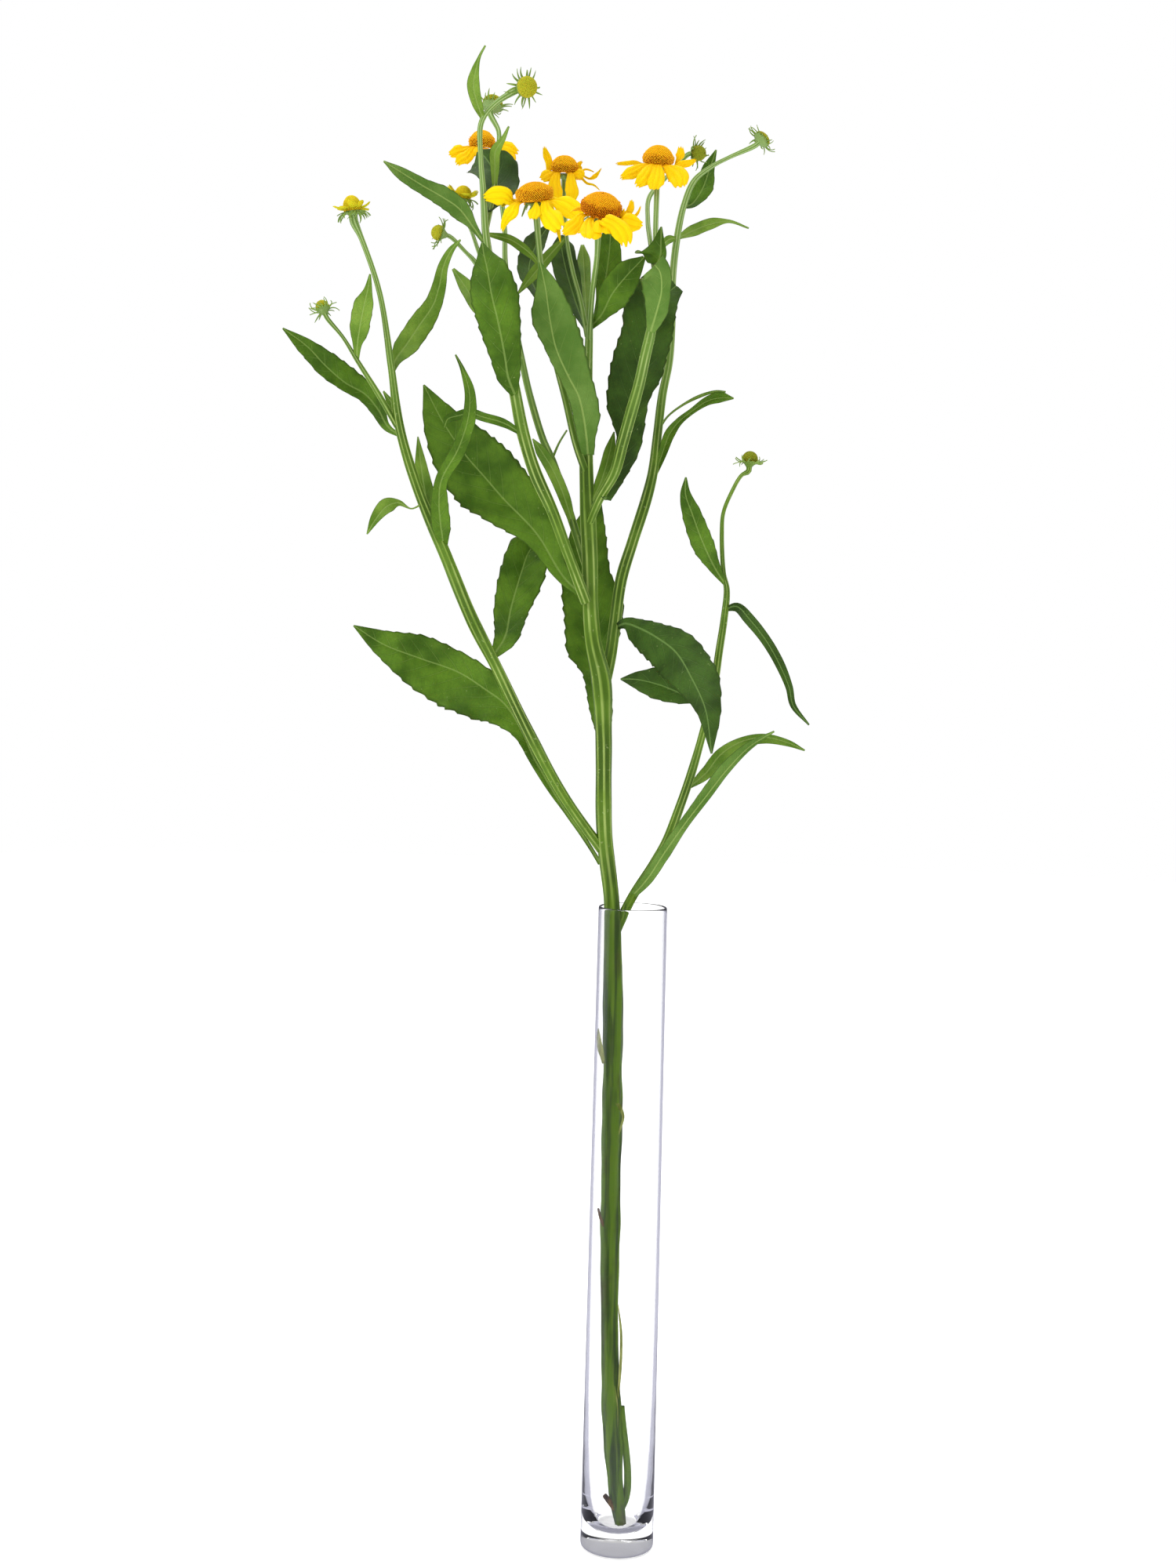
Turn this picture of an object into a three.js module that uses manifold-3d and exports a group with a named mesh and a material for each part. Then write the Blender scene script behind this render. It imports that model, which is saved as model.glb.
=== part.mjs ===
// A cut helenium (sneezeweed) stem standing in a slim glass tube vase.
// Millimetres, +Z up, front toward -Y. The origin is the middle of the vase's underside.
import * as THREE from "three";
import { mergeVertices } from "three/addons/utils/BufferGeometryUtils.js";
import Module from "manifold-3d";

const wasm = await Module();
wasm.setup();

// Driving dimensions
const VASE_HEIGHT = 350;
const VASE_FOOT_RADIUS = 20;
const VASE_RIM_RADIUS = 18.8;
const VASE_WALL = 1.8;
const VASE_FLOOR = 10;
const VASE_SIDES = 30;
const GAP = 0.3;
const LEAF_THICKNESS = 0.8;
const RAY_THICKNESS = 0.7;
const RIDGE = 0.1;
const RIDGED_FROM = 2.7;
const LEAF_STATIONS = 8;
const FRONT = [0, -1, 0];

// Every route below was measured from one eye point, as x and z on the plane through the vase's
// axis, with the depth behind that plane as a third number, in steps of DEPTH_STEP. place() carries
// a point along its line of sight to that depth, so it looks the same from the eye point.
const EYE = new THREE.Vector3(-28, -1118, 481);
const DEPTH_STEP = 1.6;

function place(x, z, depth) {
  const y = depth * DEPTH_STEP;
  const reach = (y - EYE.y) / -EYE.y;
  return new THREE.Vector3(EYE.x + (x - EYE.x) * reach, y, EYE.z + (z - EYE.z) * reach);
}

// Colours
const COLOUR = {
  glass: { color: 0xdfe8e8, roughness: 0.05, metalness: 0 },
  stem: { color: 0x6b9a45, roughness: 0.6, metalness: 0 },
  leaf: { color: 0x4f8238, roughness: 0.6, metalness: 0 },
  ray: { color: 0xffc90e, roughness: 0.7, metalness: 0 },
  disc: { color: 0xe09a1c, roughness: 0.85, metalness: 0 },
  bud: { color: 0xa6ab2e, roughness: 0.85, metalness: 0 },
};

// Seeded draw, so that every build gives the same plant
let seed = 7;

function draw() {
  seed = (seed * 16807) % 2147483647;
  return seed / 2147483647;
}

// Closed meshes to solids and back
function toSolid(geometry) {
  const bare = geometry.clone();
  bare.deleteAttribute("normal");
  bare.deleteAttribute("uv");
  const merged = mergeVertices(bare, 1e-3);
  const points = merged.attributes.position.array;
  const faces = [];
  const index = merged.index.array;
  const a = new THREE.Vector3();
  const b = new THREE.Vector3();
  const c = new THREE.Vector3();
  let volume = 0;
  for (let i = 0; i < index.length; i += 3) {
    const [p, q, r] = [index[i], index[i + 1], index[i + 2]];
    if (p === q || q === r || r === p) continue;
    faces.push([p, q, r]);
    a.fromArray(points, 3 * p);
    b.fromArray(points, 3 * q);
    c.fromArray(points, 3 * r);
    volume += a.dot(b.cross(c));
  }
  const outward = volume > 0 ? faces : faces.map(([p, q, r]) => [p, r, q]);
  const triVerts = Uint32Array.from(outward.flat());
  const vertProperties = Float32Array.from(points);
  return new wasm.Manifold(new wasm.Mesh({ numProp: 3, vertProperties, triVerts }));
}

function toGeometry(solid) {
  const mesh = solid.getMesh();
  const geometry = new THREE.BufferGeometry();
  geometry.setAttribute("position", new THREE.BufferAttribute(mesh.vertProperties.slice(), 3));
  geometry.setIndex(new THREE.BufferAttribute(mesh.triVerts.slice(), 1));
  geometry.computeVertexNormals();
  return geometry;
}

function fuse(solids) {
  return solids.reduce((whole, next) => whole.add(next));
}

function largestPiece(solid) {
  const pieces = solid.decompose();
  return pieces.reduce((best, next) => (next.volume() > best.volume() ? next : best));
}

// A tapering tube through rings of points, closed at both ends
function loft(rings) {
  const sides = rings[0].length;
  const positions = rings.flat().flatMap((p) => p.toArray());
  const faces = [];
  for (let i = 0; i + 1 < rings.length; i += 1) {
    for (let j = 0; j < sides; j += 1) {
      const next = (j + 1) % sides;
      const [a, b] = [i * sides + j, i * sides + next];
      const [c, d] = [b + sides, a + sides];
      faces.push(a, b, c, a, c, d);
    }
  }
  const last = (rings.length - 1) * sides;
  for (let j = 1; j + 1 < sides; j += 1) {
    faces.push(0, j + 1, j);
    faces.push(last, last + j, last + j + 1);
  }
  return meshOf(positions, faces);
}

function meshOf(positions, faces) {
  const geometry = new THREE.BufferGeometry();
  geometry.setAttribute("position", new THREE.Float32BufferAttribute(positions, 3));
  geometry.setIndex(faces);
  return toSolid(geometry);
}

// A thin plate of even thickness, whose two faces are split into the same triangles. outline lists
// its edge in order, and faces its triangles. The underside of the first point hangs lower by hub.
function plate(points, normals, faces, outline, thickness, hub = 0) {
  const count = points.length;
  const positions = [];
  for (const side of [0.5, -0.5]) {
    points.forEach((point, i) => {
      const offset = side * thickness - (side < 0 && i === 0 ? hub : 0);
      positions.push(...point.clone().addScaledVector(normals[i], offset).toArray());
    });
  }
  const closed = [];
  for (const [a, b, c] of faces) closed.push(a, b, c, count + a, count + c, count + b);
  outline.forEach((a, k) => {
    const b = outline[(k + 1) % outline.length];
    closed.push(a, count + a, count + b, a, count + b, b);
  });
  return meshOf(positions, closed);
}

function gridPlate(grid, rowNormals, thickness) {
  const columns = grid[0].length;
  const last = grid.length - 1;
  const faces = [];
  for (let i = 0; i < last; i += 1) {
    for (let j = 0; j + 1 < columns; j += 1) {
      const a = i * columns + j;
      const c = a + columns + 1;
      faces.push([a, a + 1, c], [a, c, a + columns]);
    }
  }
  const outline = [];
  for (let j = 0; j < columns; j += 1) outline.push(j);
  for (let i = 1; i <= last; i += 1) outline.push(i * columns + columns - 1);
  for (let j = columns - 2; j >= 0; j -= 1) outline.push(last * columns + j);
  for (let i = last - 1; i > 0; i -= 1) outline.push(i * columns);
  const normals = grid.flatMap((row, i) => row.map(() => rowNormals[i]));
  return plate(grid.flat(), normals, faces, outline, thickness);
}

// A smooth line through the rows' points, with the rows' other numbers eased between them
function routeOf(rows, points = rows.map(([x, z, depth]) => place(x, z, depth))) {
  const curve = new THREE.CatmullRomCurve3(points, false, "centripetal");
  function along(u, column) {
    const t = curve.getUtoTmapping(u) * (rows.length - 1);
    const i = Math.min(Math.floor(t), rows.length - 2);
    const share = t - i;
    return rows[i][column] * (1 - share) + rows[i + 1][column] * share;
  }
  return { curve, along };
}

// A ridged stem. Each row: x, z, depth, radius. spread makes it thicker all round.
function stem(rows, spread = 0) {
  const { curve, along } = routeOf(rows);
  const sides = rows[0][3] > RIDGED_FROM ? 8 : 6;
  const count = rows.length - 1;
  const frames = curve.computeFrenetFrames(count, false);
  const rings = [];
  for (let i = 0; i <= count; i += 1) {
    const u = i / count;
    const centre = curve.getPointAt(u);
    const radius = along(u, 3);
    const ring = [];
    for (let j = 0; j < sides; j += 1) {
      const angle = (2 * Math.PI * j) / sides;
      const ridge = sides > 6 && j % 2 === 0 ? 1 + RIDGE : 1;
      const reach = radius * ridge + spread;
      ring.push(
        centre
          .clone()
          .addScaledVector(frames.normals[i], reach * Math.cos(angle))
          .addScaledVector(frames.binormals[i], reach * Math.sin(angle)),
      );
    }
    rings.push(ring);
  }
  return loft(rings);
}

// A leaf blade. Each row: x, z, depth of the midrib, then the blade's reach to the left and to the
// right of it, looking at the side that faces. Teeth nick every second station of the margin.
function leafBlade(rows, look = {}) {
  const { facing = FRONT, tipFacing = facing, fold = 0.18, wave = 0.05, waves = 1.6 } = look;
  const { teeth = 0.1, stations = LEAF_STATIONS, spread = 0 } = look;
  const { curve, along } = routeOf(rows);
  const count = Math.max(stations, rows.length - 1);
  const grid = [];
  const normals = [];
  for (let i = 0; i <= count; i += 1) {
    const u = i / count;
    const centre = curve.getPointAt(u);
    const forward = curve.getTangentAt(u);
    const toward = new THREE.Vector3(...facing).lerp(new THREE.Vector3(...tipFacing), u);
    const across = forward.clone().cross(toward).normalize();
    const normal = across.clone().cross(forward).normalize();
    const nick = i % 2 === 1 ? 1 : 1 - teeth;
    const row = [-1, 0, 1].map((side) => {
      const half = side < 0 ? along(u, 3) : along(u, 4);
      const reach = side * (half * nick + spread);
      const swing = Math.sin(2 * Math.PI * waves * u + (side < 0 ? 2.2 : 0));
      const lift = Math.abs(reach) * (fold + 2 * wave * swing);
      return centre.clone().addScaledVector(across, reach).addScaledVector(normal, lift);
    });
    grid.push(row);
    normals.push(normal);
  }
  return gridPlate(grid, normals, LEAF_THICKNESS + 2 * spread);
}

// Flower heads
// at: middle of the dome as seen, with its depth. faces: which way the dome points.
// rays: angle round the dome (0 right, 90 back, 180 left, 270 front), length, width, how far it
// points up where it starts, and how far it points up at its tip, in degrees.
// petals: rays that droop or curl their own way. Each row: x, z, depth, and half the ray's width.
const HEADS = {
  bloom_left_front: {
    at: [-64, 740.5, -22], faces: [-0.1, -0.35, 0.93], radius: 10.4, height: 8.5,
    rays: [[55, 9, 10, 0, -50], [97, 12, 10, 0, -55], [138, 12, 12, 5, -30]],
    petals: [
      [[-74.5, 737.5, -22, 2.9], [-80, 738, -23, 4.6], [-86, 738, -24, 5.2], [-92, 736.5, -25, 2.9]],
      [[-72.5, 733, -24, 2.5], [-76.5, 729, -26, 3.7], [-79.5, 724.5, -27, 2.5],
       [-81.5, 718, -28, 1.4]],
      [[-63, 733.5, -27, 1.2], [-63, 731, -29, 2.6], [-64, 728, -30, 3.6], [-64.5, 725, -31, 2.7]],
      [[-58, 733.5, -27, 2.5], [-57, 729.5, -29, 4.5], [-53, 725, -31, 5.8], [-49, 720, -32, 4.9]],
      [[-54, 736.5, -25, 2.9], [-48.5, 734.5, -26, 5], [-42.5, 731, -27, 5.4], [-37.5, 727, -28, 3.7]],
      [[-56, 731.5, -25, 1.2], [-52, 724, -25.5, 1.2], [-50, 717.5, -26, 1.2],
       [-49, 712.5, -26.5, 0.4]],
    ],
  },
  bloom_right_front: {
    at: [-27, 734.5, -42], faces: [0.12, -0.5, 0.86], radius: 11, height: 10,
    rays: [[281, 12, 16, 30, -60], [80, 12, 11, 0, -55], [135, 10, 10, 0, -60]],
    petals: [
      [[-34.5, 725, -48, 2.6], [-33.5, 721.5, -50, 4.8], [-33, 718.5, -52, 6.2],
       [-33.5, 715.5, -53, 5.2]],
      [[-37.5, 727, -44, 2.4], [-40.5, 724, -45, 3.6], [-44.5, 720.5, -46, 4.2],
       [-48, 717.5, -46, 2.6]],
      [[-26.5, 724.5, -49, 1.6], [-25.5, 726.5, -51, 3.4], [-20.5, 724.5, -52, 3.8],
       [-16, 720.5, -53, 4.8], [-13.5, 715, -53, 5.4], [-13, 711.5, -53, 4]],
      [[-17.5, 727.5, -44, 2.2], [-13.5, 726, -45, 4.2], [-9, 724.5, -45, 4.6], [-4, 723.5, -45, 2.8]],
      [[-17, 730, -42, 1.8], [-15, 731, -42, 2.6], [-14.5, 732.5, -42, 2.2]],
      [[-16, 729, -41, 1], [-12.5, 729.5, -41, 1.2], [-11, 733, -41, 1.9], [-10.5, 737.5, -41, 1.5]],
      [[-16, 728, -42, 1], [-9.5, 728, -42, 0.8], [-7, 730.5, -42, 0.8], [-5.5, 734.5, -42, 0.6]],
    ],
  },
  bloom_center: {
    at: [-48, 756, 10], faces: [0, -0.3, 0.95], radius: 7.8, height: 8,
    rays: [[70, 12, 10, 0, -50], [120, 12, 10, 0, -50]],
    petals: [
      [[-55, 753.5, 9, 1.5], [-56.5, 757, 9, 2], [-58, 761, 9, 2.2], [-59.5, 766, 9, 1.3]],
      [[-54, 751.5, 7, 2.2], [-57.5, 749.5, 6, 3.5], [-60.5, 747, 5, 2.6]],
      [[-52, 750, 6, 2.2], [-53, 745, 4, 3.5], [-52.5, 739.5, 3, 4.3], [-50.5, 734, 3, 3.9]],
      [[-44.5, 750.5, 6, 2.2], [-44, 745, 4, 3.2], [-43.5, 740, 3, 3.9], [-44.5, 735, 3, 3.5]],
      [[-42, 752, 7, 2.2], [-39.5, 751, 6, 3], [-37.5, 748.5, 6, 2.2]],
      [[-41.5, 754, 10, 1.3], [-40, 756, 10, 1.7], [-38, 758, 10, 0.9]],
      [[-40, 752.5, 9, 0.7], [-36.5, 753.5, 9, 0.6], [-33.5, 753, 9, 0.5], [-31.5, 752, 9, 0.4]],
      [[-40, 749, 8, 0.7], [-35.5, 746, 8, 0.7], [-31.5, 745, 8, 0.6], [-28, 742, 8, 0.4]],
      [[-39.5, 750.5, 9, 0.6], [-34, 748.5, 9.5, 0.6], [-30.5, 750.5, 10, 1.3],
       [-27.5, 754.5, 10, 0.4]],
    ],
  },
  bloom_right: {
    at: [3.5, 762, -10], faces: [0.05, -0.25, 0.97], radius: 8.6, height: 9.3,
    rays: [[85, 11, 10, 0, -50], [130, 13, 10, 0, -40]],
    petals: [
      [[-4, 758, -10, 1.3], [-9, 758, -10, 1.3], [-14, 757.5, -10, 1.3], [-20, 757, -10, 1.1]],
      [[-3, 755.5, -13, 2.1], [-8.5, 753.5, -14, 3.4], [-13, 751.5, -15, 3.4], [-17.5, 749, -15, 1.7]],
      [[-0.5, 754.5, -15, 2.5], [-3, 751, -17, 3.8], [-6, 747.5, -18, 3.8], [-8.5, 744.5, -18, 2.5]],
      [[3.5, 754, -16, 2.5], [3, 750, -18, 4.2], [2, 746.5, -19, 4.6], [1.5, 743, -20, 3.3]],
      [[8, 756, -14, 2.9], [12.5, 753.5, -16, 5], [15, 750, -18, 5.9], [16, 744.5, -19, 4.6]],
      [[11, 758.5, -10, 1.3], [14.5, 760.5, -10, 1.3], [15.5, 763.5, -10, 2.5],
       [15.5, 767.5, -10, 2.1]],
      [[10.5, 757.5, -11, 1.7], [15.5, 757.5, -12, 2.1], [20, 758.5, -12, 2.1],
       [24.5, 760.5, -12, 1.3]],
    ],
  },
  bloom_back_left: {
    at: [-93.5, 768.5, 22], faces: [0, -0.22, 0.97], radius: 7.4, height: 8.5,
    rays: [[30, 11, 9, 0, -50], [85, 11, 9, 0, -50], [140, 11, 9, 0, -50]],
    petals: [
      [[-100, 763.5, 20, 2.2], [-103, 762.5, 19, 3.5], [-107, 761.5, 18, 4], [-111.5, 759.5, 18, 2.6]],
      [[-98.5, 762, 18, 2.2], [-101.5, 759, 17, 3.5], [-105, 757, 16, 4], [-107.5, 754, 16, 2.2]],
      [[-96.5, 763.5, 16, 1.3], [-96.5, 761.5, 15, 1.6], [-97, 759, 14, 0.9]],
      [[-86.5, 764.5, 20, 2.2], [-82.5, 765, 19, 3.5], [-78.5, 763.5, 18, 4.4], [-73.5, 761, 18, 3.1]],
      [[-85, 762.5, 19, 2.2], [-81, 760.5, 18, 3.5], [-77.5, 759, 17, 3.5], [-75.5, 756, 16, 2.2]],
    ],
  },
};

const BUDS = {
  head_opening_left: {
    at: [-164, 731, -31], faces: [-0.15, -0.1, 0.98], radius: 5.2, height: 8, lean: -5, yellow: true,
  },
  head_half_open: {
    at: [-103, 739, -3], faces: [0.1, -0.2, 0.97], radius: 5, height: 6.5, lean: -5, yellow: true,
  },
  bud_top_front: {
    at: [-69, 798, -29], faces: [0.5, -0.85, -0.12], radius: 6, height: 6, lean: -10,
  },
  bud_top_back: {
    at: [-88, 789, -4], faces: [0.15, 0.4, 0.9], radius: 6, height: 6, lean: 20,
  },
  bud_left: {
    at: [-117, 717, -22], faces: [-0.92, -0.25, 0.25], radius: 4.4, height: 5, lean: 15,
  },
  bud_right: {
    at: [26, 764, 14], faces: [0.72, -0.66, -0.08], radius: 4.6, height: 6, lean: 15,
  },
  bud_far_right: {
    at: [60.5, 773, 20], faces: [0.66, 0.3, 0.69], radius: 5.4, height: 3.2, lean: -8,
  },
  bud_low_right: {
    at: [58, 598, -8], faces: [0.1, -0.1, 1], radius: 4.6, height: 5.5, lean: 0,
  },
  bud_far_left: {
    at: [-179, 675, -32], faces: [-0.4, 0.3, 0.86], radius: 3.8, height: 5, lean: 15,
  },
};

const PLATE = 1.2;
const CUP = 2.6;
const STRAIGHT = 2.5;
const BRACTS_ON_BUD = 9;
const BRACTS_ON_BLOOM = 7;
const BRACT_HALF = 0.7;
const BRACT_THICKNESS = 0.8;
const STUBS_IN_OPENING_HEAD = 6;
const RAY_LEVEL = -GAP - 0.5 * PLATE;

function headFrame(head) {
  const axis = new THREE.Vector3(...head.faces).normalize();
  const right = new THREE.Vector3(1, 0, 0);
  right.addScaledVector(axis, -right.dot(axis)).normalize();
  if (Math.abs(axis.x) > 0.85) {
    right.set(0, 1, 0);
    right.addScaledVector(axis, -right.dot(axis)).normalize();
  }
  const back = axis.clone().cross(right);
  const seat = place(...head.at).addScaledVector(axis, -0.42 * head.height);
  const drop = head.rays ? PLATE + 2 * GAP : GAP;
  return { axis, right, back, seat, drop };
}

// A point of the head: turn round the axis, distance from it, height over the dome's seat
function headPoint(frame, degrees, reach, height) {
  const angle = THREE.MathUtils.degToRad(degrees);
  return frame.seat
    .clone()
    .addScaledVector(frame.right, reach * Math.cos(angle))
    .addScaledVector(frame.back, reach * Math.sin(angle))
    .addScaledVector(frame.axis, height);
}

function headLathe(frame, profile, sides) {
  const lathe = new THREE.LatheGeometry(profile.map(([r, y]) => new THREE.Vector2(r, y)), sides);
  const turn = new THREE.Matrix4().makeBasis(frame.right, frame.axis, frame.back.clone().negate());
  lathe.applyMatrix4(turn);
  lathe.translate(...frame.seat.toArray());
  return lathe;
}

// The dome of florets: rings of knobs that alternate from ring to ring. grow makes it larger all round.
function dome(head, { rings = 6, sides = 16, relief = 0.07, grow = 0 } = {}) {
  const frame = headFrame(head);
  const profile = [[0, -0.9 * grow]];
  for (let j = 0; j <= rings; j += 1) {
    const rise = (j / rings) * 0.5 * Math.PI;
    const belly = 0.82 + 0.18 * Math.sin(Math.min(1, (2.2 * j) / rings) * 0.5 * Math.PI);
    const reach = j === rings ? 0 : (head.radius + grow) * Math.cos(0.98 * rise) * belly;
    const base = j === 0 ? profile[0][1] : 0;
    profile.push([reach, base + (head.height + grow) * Math.sin(rise)]);
  }
  const lathe = headLathe(frame, profile, sides);
  const points = lathe.attributes.position;
  const middle = headPoint(frame, 0, 0, 0.35 * head.height);
  for (let k = 0; k < points.count; k += 1) {
    const j = k % profile.length;
    const i = Math.floor(k / profile.length);
    if (j < 2 || j === profile.length - 1) continue;
    const swell = 1 + ((i + j) % 2 === 0 ? relief : -relief);
    const point = new THREE.Vector3().fromBufferAttribute(points, k);
    point.sub(middle).multiplyScalar(swell).add(middle);
    points.setXYZ(k, ...point.toArray());
  }
  return toSolid(lathe);
}

// The green cup under a head: a star of bracts, whose underside comes down to a cone on the stalk.
// Each bract narrows to its middle and to its tip, and curls. Under an open bloom they are short
// and hang.
function calyx(head) {
  const frame = headFrame(head);
  const count = head.rays ? BRACTS_ON_BLOOM : BRACTS_ON_BUD;
  const length = head.rays ? 0.5 * head.radius : 0.6 * head.radius + 2;
  const lean = head.rays ? -50 : head.lean;
  const curl = head.rays ? 0 : 30;
  const level = -frame.drop - 0.5 * BRACT_THICKNESS;
  const notch = (head.rays ? 0.5 : 0.9) * head.radius;
  const points = [headPoint(frame, 0, 0, level)];
  const normals = [frame.axis];
  const faces = [];
  const outline = [];
  for (let k = 0; k < count; k += 1) {
    const degrees = (360 * (k + 0.25 * (draw() - 0.5))) / count;
    const rise = THREE.MathUtils.degToRad(lean + 30 * (draw() - 0.5));
    const turn = rise + THREE.MathUtils.degToRad(curl);
    const half = 0.55 * length;
    const out = headPoint(frame, degrees, 1, 0).sub(frame.seat);
    const across = headPoint(frame, degrees + 90, 1, 0).sub(frame.seat);
    const normal = frame.axis.clone().multiplyScalar(Math.cos(rise));
    normal.addScaledVector(out, -Math.sin(rise));
    const middle = headPoint(frame, degrees, notch, level)
      .addScaledVector(out, half * Math.cos(rise))
      .addScaledVector(frame.axis, half * Math.sin(rise));
    const tip = middle
      .clone()
      .addScaledVector(out, (length - half) * Math.cos(turn))
      .addScaledVector(frame.axis, (length - half) * Math.sin(turn));
    const first = points.length;
    points.push(headPoint(frame, (360 * (k - 0.5)) / count, notch, level));
    points.push(middle.clone().addScaledVector(across, -BRACT_HALF), tip);
    points.push(middle.clone().addScaledVector(across, BRACT_HALF));
    normals.push(frame.axis, normal, normal, normal);
    const next = k + 1 < count ? first + 4 : 1;
    faces.push([0, first, next], [first, first + 1, first + 3], [first, first + 3, next]);
    faces.push([first + 1, first + 2, first + 3]);
    outline.push(first, first + 1, first + 2, first + 3);
  }
  return plate(points, normals, faces, outline, BRACT_THICKNESS, CUP);
}

// A ray leaves the plate as a narrow strip, widens and ends in three lobes. spot gives its middle,
// the directions across and out of its face, and its half width at a share of its length.
const RAY_STATIONS = [[0, 0.48], [0.5, 0.84], [0.84, 1]];
const RAY_TIP = [[1, 0.72], [0.9, 0.34], [1.05, 0], [0.9, -0.34], [1, -0.72]];

function rayPlate(spot, stations, root) {
  function point(share, side) {
    const { centre, across, normal, half } = spot(share);
    return { point: centre.addScaledVector(across, side * half), normal };
  }

  const points = [...root];
  for (const [share, half] of stations) points.push(point(share, -half), point(share, half));
  const faces = [];
  for (let a = 0; a + 3 < points.length; a += 2) faces.push([a, a + 1, a + 3], [a, a + 3, a + 2]);
  const left = points.length - 2;
  const right = left + 1;
  const tip = right + 1;
  for (const [share, side] of RAY_TIP) points.push(point(share, side));
  faces.push([right, tip, tip + 1], [left, tip + 3, tip + 4]);
  faces.push([left, right, tip + 1], [left, tip + 1, tip + 3], [tip + 1, tip + 2, tip + 3]);
  const around = [0];
  for (let a = 1; a <= right; a += 2) around.push(a);
  around.push(tip, tip + 1, tip + 2, tip + 3, tip + 4);
  for (let a = left; a > 0; a -= 2) around.push(a);
  return plate(points.map((p) => p.point), points.map((p) => p.normal), faces, around, RAY_THICKNESS);
}

// Both corners of a ray's narrow root, inside the plate
function rayRoot(frame, head, degrees, half) {
  const root = headPoint(frame, degrees, 0.6 * head.radius, RAY_LEVEL);
  const across = headPoint(frame, degrees + 90, 1, 0).sub(frame.seat);
  return [-half, half].map((side) => ({
    point: root.clone().addScaledVector(across, side),
    normal: frame.axis,
  }));
}

function ray(head, [degrees, length, width, startLean, tipLean]) {
  const frame = headFrame(head);
  const edge = 1.1 * head.radius;
  const free = length - 0.1 * head.radius;
  const across = headPoint(frame, degrees + 90, 1, 0).sub(frame.seat);
  const out = headPoint(frame, degrees, 1, 0).sub(frame.seat);

  function spot(share) {
    const lean = THREE.MathUtils.degToRad(startLean + (tipLean - startLean) * share);
    const middle = 0.5 * (lean + THREE.MathUtils.degToRad(startLean));
    const centre = headPoint(frame, degrees, edge, RAY_LEVEL)
      .addScaledVector(out, share * free * Math.cos(middle))
      .addScaledVector(frame.axis, share * free * Math.sin(middle));
    const normal = frame.axis.clone().multiplyScalar(Math.cos(lean));
    normal.addScaledVector(out, -Math.sin(lean));
    return { centre, across, normal, half: 0.5 * width };
  }

  return rayPlate(spot, RAY_STATIONS, rayRoot(frame, head, degrees, 0.1 * width));
}

// A ray along its own rows. It leaves the plate level, toward its first row, with its face up the
// dome's axis, and turns its face to the front as it goes on to the other rows.
const PETAL_STATIONS = [[0.2, 0.8], [0.45, 1], [0.68, 1], [0.86, 1]];

function petal(head, rows) {
  const frame = headFrame(head);
  const away = place(...rows[0]).sub(frame.seat);
  const turn = Math.atan2(away.dot(frame.back), away.dot(frame.right));
  const degrees = THREE.MathUtils.radToDeg(turn);
  const start = [0.6, 1.1].map((share) => headPoint(frame, degrees, share * head.radius, RAY_LEVEL));
  const numbers = [[0, 0, 0, 0.5 * rows[0][3]], ...rows];
  const { curve, along } = routeOf(numbers, [...start, ...rows.slice(1).map((row) => place(...row))]);

  function spot(share) {
    const u = Math.min(share, 1);
    const forward = curve.getTangentAt(u);
    const toward = frame.axis.clone().lerp(new THREE.Vector3(...FRONT), Math.min(1, 2 * u));
    const across = toward.cross(forward).normalize();
    const normal = forward.clone().cross(across);
    const centre = curve.getPointAt(u).addScaledVector(forward, (share - u) * curve.getLength());
    return { centre, across, normal, half: along(u, 3) };
  }

  return rayPlate(spot, PETAL_STATIONS, rayRoot(frame, head, degrees, 0.3 * rows[0][3]));
}

// The yellow plate that the rays grow from, with the rays, cut clear of the dome
function rayRing(head) {
  const frame = headFrame(head);
  const reach = 0.78 * head.radius;
  const profile = [[0, -GAP - PLATE], [reach, -GAP - PLATE], [reach, -GAP], [0, -GAP]];
  const rays = [...head.rays.map((row) => ray(head, row)), ...head.petals.map((rows) => petal(head, rows))];
  const whole = fuse([toSolid(headLathe(frame, profile, 12)), ...rays]);
  return largestPiece(whole.subtract(dome(head, { grow: GAP })));
}

// The yellow dome of an opening head, with short ray stubs round its edge
function openingDome(head) {
  const pieces = [dome(head, { rings: 5, sides: 12 })];
  const frame = headFrame(head);
  for (let k = 0; k < STUBS_IN_OPENING_HEAD; k += 1) {
    const degrees = (360 * k) / STUBS_IN_OPENING_HEAD + 12;
    const rings = [0.5, 0.95, 1.35].map((reach, i) => {
      const centre = headPoint(frame, degrees, reach * head.radius, 1.2 + 0.8 * i);
      const half = [0.9, 1.3, 0.9][i];
      return [
        centre.clone().add(headPoint(frame, degrees + 90, half, 0)).sub(frame.seat),
        centre.clone().addScaledVector(frame.axis, 0.9),
        centre.clone().add(headPoint(frame, degrees - 90, half, 0)).sub(frame.seat),
      ];
    });
    pieces.push(loft(rings));
  }
  return fuse(pieces);
}

// The last two rows of the route of a stalk, straight up into the cup of its head
function underHead(head, radius) {
  const frame = headFrame(head);
  return [-frame.drop - CUP - STRAIGHT, -frame.drop - 0.6 * CUP].map((height) => {
    const point = headPoint(frame, 0, 0, height);
    const reach = (point.y - EYE.y) / -EYE.y;
    const x = EYE.x + (point.x - EYE.x) / reach;
    const z = EYE.z + (point.z - EYE.z) / reach;
    return [x, z, point.y / DEPTH_STEP, radius];
  });
}

// The stems. Each shoot: its stalks (rows of x, z, depth, radius), the heads it carries, and the
// small leaves that grow from it as one with it.
const ALL_HEADS = { ...HEADS, ...BUDS };

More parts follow.
